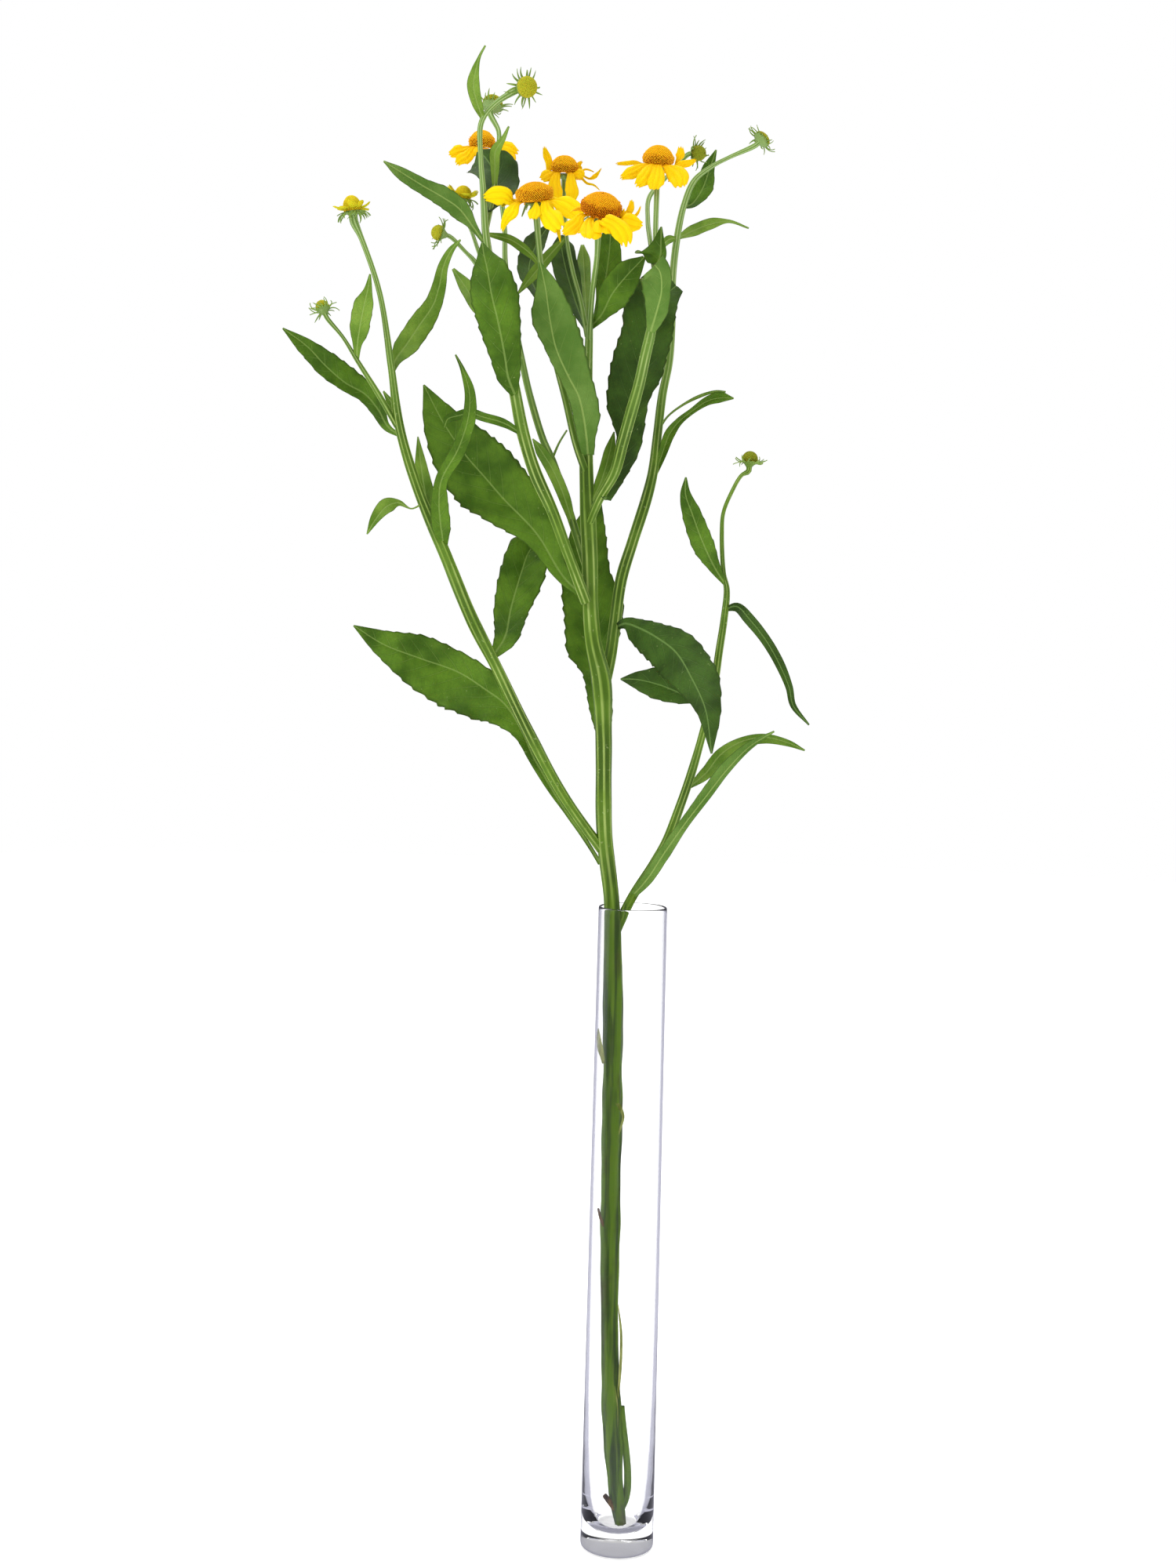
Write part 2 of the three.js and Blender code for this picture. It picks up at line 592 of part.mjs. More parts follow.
const SHOOTS = {
  main_stem: {
    stalks: [
      [
        [2, 10.4, -4, 2.9], [-1, 30, -3, 3.8], [-6, 99, 0, 4.4], [-8, 176, 1, 4.8], [-9, 260, 1, 4.9],
        [-10.2, 320, 0, 4.8], [-11.6, 352, 0, 4.3], [-16.5, 389, 2, 4.2], [-18.5, 443, 3, 4.4],
        [-20.5, 473, 4, 5.2], [-26, 497, 4, 4.3], [-29, 546, 4, 4.2], [-32, 599, 3, 3.6],
        [-32, 640, 2, 2.4], [-32, 668, 0, 2],
      ],
      [[0, 14, -3.5, 1.6], [5, 30, -3, 2], [1, 76, -1.5, 1.6]],
      [[0, 18, -4, 1.8], [-7, 27, -5, 1.2]],
      [[-9, 171, 0, 1.2], [-13, 178, -1.5, 0.8], [-14.6, 184, -2.2, 0.6]],
      [
        [-32, 588, 2.5, 2.2], [-38, 604, -2.5, 2], [-44, 627, -6, 1.9], [-50, 648, -7, 1.8],
        [-55, 674, -9, 1.7], [-59, 697, -12, 1.6], ...underHead(HEADS.bloom_left_front, 1.8),
      ],
      [
        [-33, 662, 2, 1.5], [-37, 681, 5, 1.3], [-42, 698, 8, 1.2], [-46, 717, 9, 1.2],
        ...underHead(HEADS.bloom_center, 1.5),
      ],
      [
        [-32, 660, 0.5, 1.6], [-31, 685, -12, 1.4], [-29, 705, -22, 1.4],
        ...underHead(HEADS.bloom_right_front, 1.8),
      ],
    ],
    heads: ["bloom_left_front", "bloom_center", "bloom_right_front"],
    leaves: [
      [[-28, 571.5, 2, 1.3, 1.3], [-23, 584, 4, 3.5, 3.5], [-19.5, 597, 5, 3.5, 3.5],
       [-17, 610, 7, 0.4, 0.4]],
      [[-32.5, 662, 1, 1, 1], [-34.5, 682, 13, 3, 3], [-36, 702, 24, 4, 4], [-37, 712, 28, 1, 1]],
      [[-46, 716, 9, 1, 1], [-54, 707, 6, 3, 3], [-62, 697, 3, 3.5, 3.5], [-72, 684, -1, 0.5, 0.5]],
    ],
  },
  shoot_left: {
    stalks: [
      [
        [-18, 381, 2, 2.9], [-26, 391, 1.5, 2.7], [-40.5, 411, 0, 2.7], [-58, 441, -3, 3],
        [-78, 479, -8, 3],
        [-92.5, 506, -11, 3.4], [-109, 543, -16, 3.3], [-123, 574, -19, 2.6], [-134.5, 609, -22, 2.5],
        [-140, 642, -25, 1.8], [-147.5, 683, -28, 1.4], [-158, 712, -30, 1.4],
        ...underHead(BUDS.head_opening_left, 2.2),
      ],
      [
        [-136, 610, -22, 1.7], [-146.5, 627, -24, 1.5], [-158.5, 645, -27, 1.2], [-167, 658, -29, 1],
        ...underHead(BUDS.bud_far_left, 1.2),
      ],
    ],
    heads: ["head_opening_left", "bud_far_left"],
    leaves: [
      [
        [-118, 565, -19, 1.5, 1.5], [-119.5, 573, -15, 5, 5], [-122, 586, -11, 3.8, 3.8],
        [-124.5, 604.5, -7, 0.4, 0.4],
      ],
      [
        [-121, 568, -19, 0.6, 0.6], [-127, 565, -21, 0.4, 0.4], [-134, 568, -24, 1.7, 1.7],
        [-140.5, 566, -28, 4.1, 4.5], [-146, 559.5, -32, 2.5, 3.3], [-151, 550.5, -36, 0.4, 0.4],
      ],
      [[-137, 612, -22, 1, 1], [-138, 620, -19, 3, 2], [-144, 629, -16, 0.5, 0.5]],
    ],
  },
  shoot_center_left: {
    stalks: [
      [
        [-30, 516, 0, 2.8], [-42, 546, -5, 2.9], [-50, 566, -9, 3.1], [-60, 587, -14, 3.3],
        [-67, 608, -18, 3.3], [-72, 630, -22, 3.2], [-80, 665, -20, 2.4], [-87, 699, -20, 2.1],
        [-90, 716, -21, 2], [-92, 739, -22, 1.6], [-94, 759, -23, 1.3], [-94, 778, -24, 1.4],
        [-87, 788, -25, 1.5], ...underHead(BUDS.bud_top_front, 1.8),
      ],
      [
        [-90, 719, -21, 1.5], [-86, 742, -16, 1.4], [-84.5, 763.5, -12, 1.3], [-84.5, 773, -9, 1.3],
        ...underHead(BUDS.bud_top_back, 1.6),
      ],
      [[-88, 688, -20, 1.2], [-96, 701.5, -19, 1.3],
       [-101, 706.5, -19, 1], ...underHead(BUDS.bud_left, 1.1)],
      [
        [-89, 698, -20, 1.2], [-93, 705, -17, 1.1], [-98, 718, -12, 1],
        ...underHead(BUDS.head_half_open, 1.3),
      ],
    ],
    heads: ["bud_top_front", "bud_top_back", "bud_left", "head_half_open"],
    leaves: [
      [
        [-86, 741, -16, 1, 1], [-86, 753, -18, 2.5, 2.5], [-86, 762, -20, 3, 3],
        [-82, 769, -21, 1.5, 1.5], [-79, 776, -22, 0.5, 0.5],
      ],
      [
        [-82, 671, -20, 1.5, 1.5], [-92.5, 674, -14, 2.5, 2.5], [-99, 685, -6, 3.8, 4.7],
        [-107.5, 697, 2, 0.9, 0.9],
      ],
    ],
  },
  shoot_back_left: {
    stalks: [
      [
        [-29, 532, 6, 2.4], [-41, 567, 14, 2.3], [-50, 592, 20, 2.2], [-56, 605, 24, 2.1],
        [-63, 626, 30, 2], [-67, 641, 34, 1.9], [-74, 673, 38, 1.7], [-79, 701, 38, 1.5],
        [-80, 721, 34, 1.4], [-84, 742, 28, 1.4], ...underHead(HEADS.bloom_back_left, 1.6),
      ],
      [[-51, 593, 20, 0.8], [-47, 603, 12, 0.6], [-43, 610, 5, 0.5]],
    ],
    heads: ["bloom_back_left"],
    leaves: [
      [
        [-37.5, 556, 12, 1.3, 1.3], [-44, 575, 10, 3.5, 3.5], [-50.5, 589, 13, 3.9, 3.5],
        [-56, 597.5, 17, 3.5, 3.1], [-61.5, 605, 21, 0.4, 0.4],
      ],
    ],
  },
  shoot_right: {
    stalks: [
      [
        [-20, 466, 6, 3.4], [-16, 486, 9, 3.3], [-14, 503, 11, 3.1], [-11, 529, 14, 3.1],
        [-5.5, 549, 16, 3.1], [1.5, 573, 18, 3.1], [5, 589, 20, 2.7], [7, 610, 22, 2.5],
        [9, 631, 24, 2.4],
        [12, 648, 26, 2.2], [13, 667, 27, 2.1], [13, 697, 28, 2], [15, 719, 28, 1.9],
        [18, 735, 28, 1.7], [23.5, 749, 27, 1.5], [33, 757, 25, 1.2], [42, 762, 23, 1.1],
        ...underHead(BUDS.bud_far_right, 1.5),
      ],
    ],
    heads: ["bud_far_right"],
    leaves: [
      [[14, 717, 27, 1, 1], [10, 716, 24, 2.5, 2.5], [5, 710, 19, 1, 1]],
      [
        [8, 613, 22, 0.8, 0.8], [12.5, 619.5, 23, 0.6, 0.6], [20, 625.5, 22, 0.7, 0.7],
        [29, 630.5, 19, 1, 1], [38, 633.5, 15, 0.8, 0.8], [43.5, 633.5, 12, 0.5, 0.5],
      ],
    ],
  },
  shoot_right_front: {
    stalks: [
      [
        [-29.5, 559, 3, 2.2], [-24, 573, -3, 2.4], [-16, 588, -8, 2.8], [-12, 604, -13, 3],
        [-8, 620, -17, 3], [-4, 636, -21, 2.9], [-1, 652, -24, 2.8], [2, 667, -26, 2.6],
        [3, 684, -22, 1.9], [4, 705, -18, 1.6], [3, 718, -16, 1.4], [3, 743, -12, 1.4],
        ...underHead(HEADS.bloom_right, 1.8),
      ],
      [
        [3.5, 696, -19.5, 1.4], [0, 716, -12, 1.3], [-1.5, 727, 0, 1.3], [-1, 739, 8, 1.3],
        [7.5, 749.5, 15, 1.1], ...underHead(BUDS.bud_right, 1.3),
      ],
    ],
    heads: ["bloom_right", "bud_right"],
    leaves: [],
  },
  shoot_far_right: {
    stalks: [
      [
        [-10.5, 333, 1, 2.6], [-0.5, 355, 0, 2.6], [10.5, 373, -1, 2.6], [18, 387, -1, 2.6],
        [24, 404, -2, 2.4],
        [30, 423, -2, 2.3], [35, 442, -3, 2.1], [39, 459, -4, 2.1], [42, 476, -4, 2.1],
        [43.5, 489, -5, 2],
        [46, 509, -6, 1.9], [47, 525, -6, 1.6], [45, 534, -6, 1.3], [43.5, 556, -7, 1.1],
        [44, 567, -7, 1],
        [48, 578, -8, 1], [53.5, 588, -8, 1], ...underHead(BUDS.bud_low_right, 1.5),
      ],
    ],
    heads: ["bud_low_right"],
    leaves: [],
  },
};

// The large leaves: the shoot each grows from, its rows, and how its blade looks
const LEAVES = {
  leaf_lower_left: {
    on: "main_stem", look: { stations: 16 },
    rows: [
      [-18.6, 373, 2.5, 1.3, 1.3], [-23, 380, 5, 1.2, 1.2], [-29.5, 389.5, 5.5, 1.3, 1.3],
      [-37, 399.5, 5, 1.3, 1.3], [-44.5, 410.5, 3.5, 2.2, 1.7], [-51, 421, 2, 3, 2.2],
      [-57.5, 432, 1.5, 3.4, 2.6], [-62.5, 443, 2, 5.2, 3], [-73, 459, 4, 15.1, 7.4],
      [-84, 467, 6, 19.1, 10.8],
      [-99, 476, 8, 22.2, 11.3], [-120, 483, 6, 17.3, 13.4], [-140, 490, 0, 7.7, 9],
      [-157, 500, -8, 0.5, 0.5],
    ],
  },
  leaf_left_inner: {
    on: "shoot_left", look: { stations: 12 },
    rows: [
      [-81, 484, -8, 1.5, 1.5], [-74, 496, -2, 6.4, 7.7], [-71, 512, 6, 10, 10.8],
      [-66, 531, 12, 12.2, 14],
      [-62, 543, 16, 12.3, 11.9], [-55, 552, 20, 1.5, 1.5],
    ],
  },
  leaf_great_left: {
    on: "shoot_center_left", look: { stations: 12 },
    rows: [
      [-30, 518, 1, 1.5, 1.5], [-43, 530, 5, 4, 4.5], [-58, 553, 6, 8.7, 12.1],
      [-77, 572, 4, 16.4, 19.9],
      [-87, 583, 2, 21.1, 20.3], [-98, 595, -2, 19.3, 18.4], [-111, 613, -8, 12, 10.5],
      [-122, 633, -14, 0.5, 0.5],
    ],
  },
  leaf_twisted_left: {
    on: "shoot_left", look: { tipFacing: [0.5, -0.8, 0.2] },
    rows: [
      [-109, 546, -17, 2.5, 2.5], [-111, 558, -25, 5, 5.5], [-112, 569, -28, 4.5, 5],
      [-111, 581, -31, 3.5, 3.5], [-102, 599, -35, 4, 4.5], [-97, 617, -39, 3.5, 4],
      [-97, 630, -42, 3, 3], [-101, 642, -45, 1.5, 1.5], [-105, 650, -48, 0.5, 0.5],
    ],
  },
  leaf_far_left: {
    on: "shoot_left", look: {},
    rows: [
      [-135, 605, -21, 1, 1], [-141.5, 610, -18, 2.9, 1.7], [-146.5, 618.5, -15, 4.2, 4.2],
      [-154, 627, -14, 4.6, 6.3], [-165, 633, -17, 4.6, 9.2], [-176, 642, -24, 5.8, 8.3],
      [-186, 652, -30, 5.4, 4.5], [-200, 662, -40, 0.5, 0.5],
    ],
  },
  leaf_far_left_upright: {
    on: "shoot_left", look: {},
    rows: [
      [-159, 645, -27, 1, 1], [-159, 654, -29, 2.5, 2.5], [-158, 663, -32, 5.3, 5.3],
      [-156, 675, -35, 5.7, 5.3], [-154, 685, -37, 2, 2.5], [-153, 693, -39, 0.5, 0.5],
    ],
  },
  leaf_left_upright: {
    on: "shoot_left", look: { teeth: 0.06 },
    rows: [
      [-140, 638, -25, 1, 1], [-138, 646, -22, 2.9, 3.7], [-132, 655, -18, 6.3, 7.1],
      [-125, 666, -15, 6.3, 7.2], [-118, 677, -14, 5, 5], [-115, 687, -17, 4, 4],
      [-113, 698, -22, 3, 3], [-109, 707, -28, 2, 2], [-104, 713, -34, 0.5, 0.5],
    ],
  },
  leaf_front_left: {
    on: "shoot_center_left", look: { stations: 12, fold: -0.1 },
    rows: [
      [-72, 629, -24, 2, 2], [-76, 639, -30, 6.2, 7], [-78, 650, -33, 8.2, 9],
      [-82.5, 670, -36, 11, 12.6], [-86, 683, -36, 11.5, 14.5], [-89, 698, -34, 8.5, 11],
      [-91, 706, -32, 3.5, 5], [-92, 712, -30, 0.5, 0.5],
    ],
  },
  leaf_top: {
    on: "shoot_center_left", look: { teeth: 0.04 },
    rows: [
      [-93, 779, -24, 1, 1], [-97, 789, -28, 3, 3], [-99, 798, -30, 3.5, 3.5], [-98, 806, -31, 2.5, 2],
      [-96, 814, -32, 0.8, 0.8], [-93, 820, -33, 0.5, 0.5],
    ],
  },
  leaf_behind_back_bloom: {
    on: "shoot_center_left", look: { stations: 8 },
    rows: [
      [-91, 729, -20, 0.8, 3.3], [-87, 742, -11, 4.7, 14.4], [-87, 751, -5, 14.5, 14.1],
      [-91, 758, 0, 9, 7.5],
      [-95, 762, 4, 1.5, 1.5],
    ],
  },
  leaf_upper_left: {
    on: "shoot_center_left", look: {},
    rows: [
      [-91, 712, -21, 1, 1], [-97, 720, -22, 2, 2.5], [-105, 730, -25, 5.8, 5.4],
      [-114, 736, -29, 5.5, 6], [-125, 742, -34, 4.9, 4.1], [-137, 749, -40, 4.1, 2.8],
      [-147, 755, -48, 0.5, 0.5],
    ],
  },
  leaf_under_bloom_left: {
    on: "main_stem", look: { teeth: 0.04 },
    rows: [
      [-59, 699, -12, 1, 1], [-64, 705, -13, 2, 1.5], [-70, 710, -13, 3, 2.5],
      [-77, 714, -13, 2.5, 2.5],
      [-86, 716, -13, 1.5, 1.5], [-92, 717, -13, 0.5, 0.5],
    ],
  },
  leaf_front_center: {
    on: "main_stem", look: { stations: 12 },
    rows: [
      [-31, 597, 0, 3.5, 3.5], [-32, 606, -7, 5, 5], [-34, 618, -10, 5.9, 9.3],
      [-37, 629, -13, 5.9, 10.1], [-43, 640, -15, 5, 13], [-50, 655, -18, 5.9, 15.5],
      [-54, 672, -20, 10, 13.4], [-56.5, 687, -22, 5.8, 8.3], [-60, 702, -24, 0.5, 0.5],
    ],
  },
  leaf_dark_right: {
    on: "shoot_right_front", look: { stations: 12 },
    rows: [
      [-21, 573, -5, 2.6, 3.4], [-15, 587.5, 1, 4.3, 6], [-10, 604, 2, 6, 8.5], [-7, 626, 2, 15.5, 8.6],
      [-4, 645, 2, 16.4, 13.8], [0, 662, 3, 15.5, 13.8], [4, 675, 4, 19, 11.7], [9, 685, 6, 17.3, 8.7],
      [15, 691, 9, 6.1, 5.2],
    ],
  },
  leaf_under_right_bloom: {
    on: "shoot_right_front", look: { teeth: 0.04 },
    rows: [
      [4, 702, -18, 5, 2.5], [6, 708, -24, 14.1, 3.3], [6, 715, -27, 5, 2], [6, 723, -30, 0.5, 0.5],
    ],
  },
  leaf_front_right: {
    on: "shoot_right_front", look: { stations: 12, fold: -0.1 },
    rows: [
      [1, 663, -26, 1.5, 1.5], [5, 678, -35, 7, 6], [7, 688, -39, 10.5, 5], [6, 698, -42, 11, 6],
      [3, 702, -44, 8.5, 7.5],
    ],
  },
  leaf_upper_right: {
    on: "shoot_right", look: {},
    rows: [
      [18, 734, 28, 1, 1], [23, 736.5, 32, 3.6, 3.1], [28.5, 745.5, 35, 5.4, 5.9],
      [31.5, 755, 37, 4.5, 3.2],
      [35, 766, 38, 0.5, 0.5],
    ],
  },
  leaf_right_small: {
    on: "shoot_right", look: {},
    rows: [
      [15, 717, 28, 1, 1], [24, 721.5, 34, 3.6, 3.6], [32.5, 725, 37, 3.6, 3.2],
      [43, 727, 38, 1.1, 1.1],
      [54, 723.5, 38, 0.5, 0.5],
    ],
  },
  leaf_fork_right: {
    on: "main_stem", look: {},
    rows: [
      [-31, 667, -1, 1.5, 1.5], [-25, 675, -9, 3.4, 4.2], [-20, 685.5, -15, 7.6, 10.1],
      [-12.5, 695.5, -21, 8.3, 9.2],
      [-3, 706, -27, 1.2, 1.2],
    ],
  },
  leaf_right_folded: {
    on: "shoot_right", look: { fold: 0.5, stations: 9 },
    rows: [
      [5.5, 585, 20, 0.9, 0.9], [10, 599.5, 20, 2.7, 2.7], [13.5, 609.5, 19, 3.1, 3.1],
      [18.5, 616.5, 18, 2.2, 2.2], [25, 622, 17, 1.8, 1.8], [33.5, 628, 15, 2.6, 2.6],
      [40.5, 630, 12, 3.5, 3.1], [48, 630, 8, 0.5, 0.5],
    ],
  },
  leaf_low_right: {
    on: "shoot_far_right", look: { fold: 0.3 },
    rows: [
      [-2, 354, 0, 1.5, 1.5], [8, 366, -6, 3.2, 3.2], [16, 379, -8, 3.5, 3.5], [28, 397, -9, 3.4, 2.5],
      [39, 412, -10, 4.2, 2.5], [49, 425.5, -12, 4.6, 2.1], [61.5, 439, -14, 2.9, 1.7],
      [75, 448, -16, 0.5, 0.5],
    ],
  },
  leaf_low_right_back: {
    on: "shoot_far_right", look: { fold: 0.3 },
    rows: [
      [29, 416, -2, 1, 1], [38, 424, 3, 3.5, 3.5], [46, 434.5, 8, 3.5, 4.3], [57.5, 442, 12, 2.6, 3.9],
      [70, 444.5, 15, 2.2, 3.5], [82.5, 442, 17, 1.8, 2.2], [92, 438, 18, 0.5, 0.5],
    ],
  },
  leaf_front_low: {
    on: "shoot_right", look: { stations: 12, fold: -0.15 },
    rows: [
      [-13, 503, 11, 1.5, 1.5], [-8, 505, 2, 3.5, 3.5], [-1, 503, -6, 5.5, 9.5], [9, 498, -14, 9, 13],
      [20, 490, -21, 13, 15], [29, 476, -29, 14.4, 10.7], [37, 459, -37, 8.6, 5.3],
      [41, 435, -44, 0.5, 0.5],
    ],
  },
  leaf_front_low_back: {
    on: "shoot_far_right", look: {},
    rows: [
      [41, 464, -4, 1, 1], [33, 464, -9, 2, 2], [22, 468, -12, 6.5, 7.5], [11, 472, -13, 8.4, 9.7],
      [-1, 474.5, -13, 5.5, 4.6], [-10, 474.5, -12, 0.4, 0.4],
    ],
  },
  leaf_far_right_upright: {
    on: "shoot_far_right", look: {},
    rows: [
      [46, 528, -6, 1, 1], [40, 537, -10, 3.4, 3.4], [33, 551, -16, 6.7, 5.9], [27, 566, -21, 5.8, 5],
      [23, 577, -25, 3, 3], [23, 586, -28, 0.5, 0.5],
    ],
  },
  leaf_far_right_drooping: {
    on: "shoot_far_right", look: { fold: 0.4 },
    rows: [
      [46, 514, -6, 1, 1], [52.5, 516, -8, 2.1, 3], [60, 509, -12, 3, 3.4], [69, 498, -16, 2.9, 2.9],
      [76, 486.5, -19, 2.9, 2.5], [82.5, 472.5, -21, 2.1, 2.1], [85, 462.5, -22, 1.7, 1.7],
      [94, 452, -22, 0.5, 0.5],
    ],
  },
  leaf_behind_stem: {
    on: "main_stem", look: { stations: 12 },
    rows: [
      [-18.5, 441, 3, 3.5, 3], [-19.5, 457, 14, 7.5, 6], [-21, 477, 21, 10.5, 6],
      [-23, 492, 24, 18.7, 11.6], [-25, 513, 26, 18.7, 16.9], [-29, 530, 28, 16.1, 13.4],
      [-30.5, 548, 30, 11.7, 12.1], [-28, 573, 34, 1.8, 5.4],
    ],
  },
  leaf_behind_fork_left: {
    on: "main_stem", look: { teeth: 0.05 },
    rows: [
      [-34, 666, 3, 1.2, 1.2], [-40, 681, 13, 5, 4.5], [-45, 696, 19, 7.5, 7.5], [-48, 708, 23, 7, 7.5],
      [-49, 717, 26, 1.5, 1.5],
    ],
  },
  leaf_behind_fork_right: {
    on: "main_stem", look: { teeth: 0.05 },
    rows: [
      [-30, 667, 1, 1.2, 1.2], [-26.5, 681, 7, 2.6, 5.2], [-23.5, 696, 9, 6.1, 8.7],
      [-22, 711, 7, 6, 6.5],
      [-22, 723, 3, 3.5, 3.5], [-23, 728, 0, 1, 1],
    ],
  },
  leaf_behind_left_bloom: {
    on: "main_stem", look: {},
    rows: [
      [-55, 674, -8, 1, 1], [-62, 687, 5, 3.5, 3.5], [-66, 697, 12, 6.6, 5.7], [-63, 710, 19, 7.5, 5.3],
      [-56, 722, 25, 1.5, 1.5],
    ],
  },
  leaf_narrow_left: {
    on: "shoot_center_left", look: { teeth: 0.04 },
    rows: [
      [-67, 607, -18, 1, 1], [-75, 612, -21, 2.1, 2.1], [-80, 614, -22, 2.5, 2.5],
      [-88, 616, -22, 2.5, 2.5], [-96, 618, -20, 2.5, 2.9], [-103, 616.5, -17, 2.5, 2.5],
      [-108.5, 614.5, -14, 2.1, 2.1], [-110, 610, -12, 0.5, 0.5],
    ],
  },
};

// The vase: a thick-bottomed glass tube, a little wider at the foot
function vase() {
  const inner = VASE_RIM_RADIUS - VASE_WALL;
  const innerFoot = VASE_FOOT_RADIUS - VASE_WALL - 0.4;
  const profile = [
    [0, 0], [VASE_FOOT_RADIUS - 1.6, 0], [VASE_FOOT_RADIUS - 0.4, 0.6], [VASE_FOOT_RADIUS, 2],
    [VASE_RIM_RADIUS, VASE_HEIGHT - 0.8], [VASE_RIM_RADIUS - 0.8, VASE_HEIGHT],
    [inner + 0.6, VASE_HEIGHT], [inner, VASE_HEIGHT - 0.8], [innerFoot, VASE_FLOOR + 3],
    [innerFoot - 2.5, VASE_FLOOR], [0, VASE_FLOOR],
  ];
  const lathe = new THREE.LatheGeometry(profile.map(([r, z]) => new THREE.Vector2(r, z)), VASE_SIDES);
  lathe.rotateX(Math.PI / 2);
  return toSolid(lathe);
}

// Assembly: each shoot is cut to lie just clear of the main stem, and each leaf of its shoot
function stalksOf(name, spread) {
  return fuse(SHOOTS[name].stalks.map((rows) => stem(rows, spread)));
}

function smallLeavesOf(name, spread) {
  return SHOOTS[name].leaves.map((rows) => leafBlade(rows, { teeth: 0.05, stations: 5, spread }));
}

const solids = {};
const clearance = {};
for (const [name, shoot] of Object.entries(SHOOTS)) {
  clearance[name] = fuse([stalksOf(name, GAP), ...smallLeavesOf(name, GAP)]);
  const cups = shoot.heads.map((head) => calyx(ALL_HEADS[head]));
  const whole = fuse([stalksOf(name, 0), ...cups, ...smallLeavesOf(name, 0)]);
  solids[name] = name === "main_stem" ? whole : largestPiece(whole.subtract(clearance.main_stem));
}

const group = new THREE.Group();

function addNode(name, solid, colour) {
  const mesh = new THREE.Mesh(toGeometry(solid), new THREE.MeshStandardMaterial(COLOUR[colour]));
  mesh.name = name;
  group.add(mesh);
}

addNode("vase", vase(), "glass");
for (const [name, solid] of Object.entries(solids)) addNode(name, solid, "stem");
for (const [name, leaf] of Object.entries(LEAVES)) {
  const cut = leafBlade(leaf.rows, leaf.look).subtract(clearance[leaf.on]);
  addNode(name, largestPiece(cut), "leaf");
}
for (const [name, head] of Object.entries(HEADS)) {
  addNode(`${name}_rays`, rayRing(head), "ray");
  addNode(`${name}_disc`, dome(head), "disc");
}
for (const [name, bud] of Object.entries(BUDS)) {
  const solid = bud.yellow ? openingDome(bud) : dome(bud, { rings: 4, sides: 12 });
  addNode(name, solid, bud.yellow ? "disc" : "bud");
}

export default group;
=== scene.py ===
import math

import bpy
import numpy as np
from mathutils import Matrix


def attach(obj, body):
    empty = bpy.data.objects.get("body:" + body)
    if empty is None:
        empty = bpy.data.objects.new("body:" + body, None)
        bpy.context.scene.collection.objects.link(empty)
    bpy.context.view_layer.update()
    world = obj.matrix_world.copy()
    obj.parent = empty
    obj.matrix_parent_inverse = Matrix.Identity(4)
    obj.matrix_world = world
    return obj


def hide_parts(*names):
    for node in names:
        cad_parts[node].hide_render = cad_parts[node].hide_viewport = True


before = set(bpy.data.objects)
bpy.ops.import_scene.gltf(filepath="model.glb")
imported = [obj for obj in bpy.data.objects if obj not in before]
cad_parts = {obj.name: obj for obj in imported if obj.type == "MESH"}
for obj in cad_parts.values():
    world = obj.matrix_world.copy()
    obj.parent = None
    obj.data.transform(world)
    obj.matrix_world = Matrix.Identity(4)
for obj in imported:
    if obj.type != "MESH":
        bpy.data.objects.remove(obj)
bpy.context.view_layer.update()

MM = 0.001
SEED = 11
rng = np.random.default_rng(SEED)

# Camera: the photograph's eye point, its focal length and its small tilt to the side
EYE = np.array([-28.0, -1118.0, 481.0])
SENSOR = 36.0
LENS = 46.8
SHIFT_UP = -0.075
TILT = math.radians(1.47)

# Driving dimensions
DEPTH_STEP = 1.6
VASE_HEIGHT = 350
VASE_RIM_RADIUS = 18.8
VASE_WALL = 1.2
VASE_FLOOR = 10
VASE_SIDES = 160
GAP = 0.3
PLATE = 1.2
CUP = 2.6
STRAIGHT = 2.5
FRONT = np.array([0.0, -1.0, 0.0])

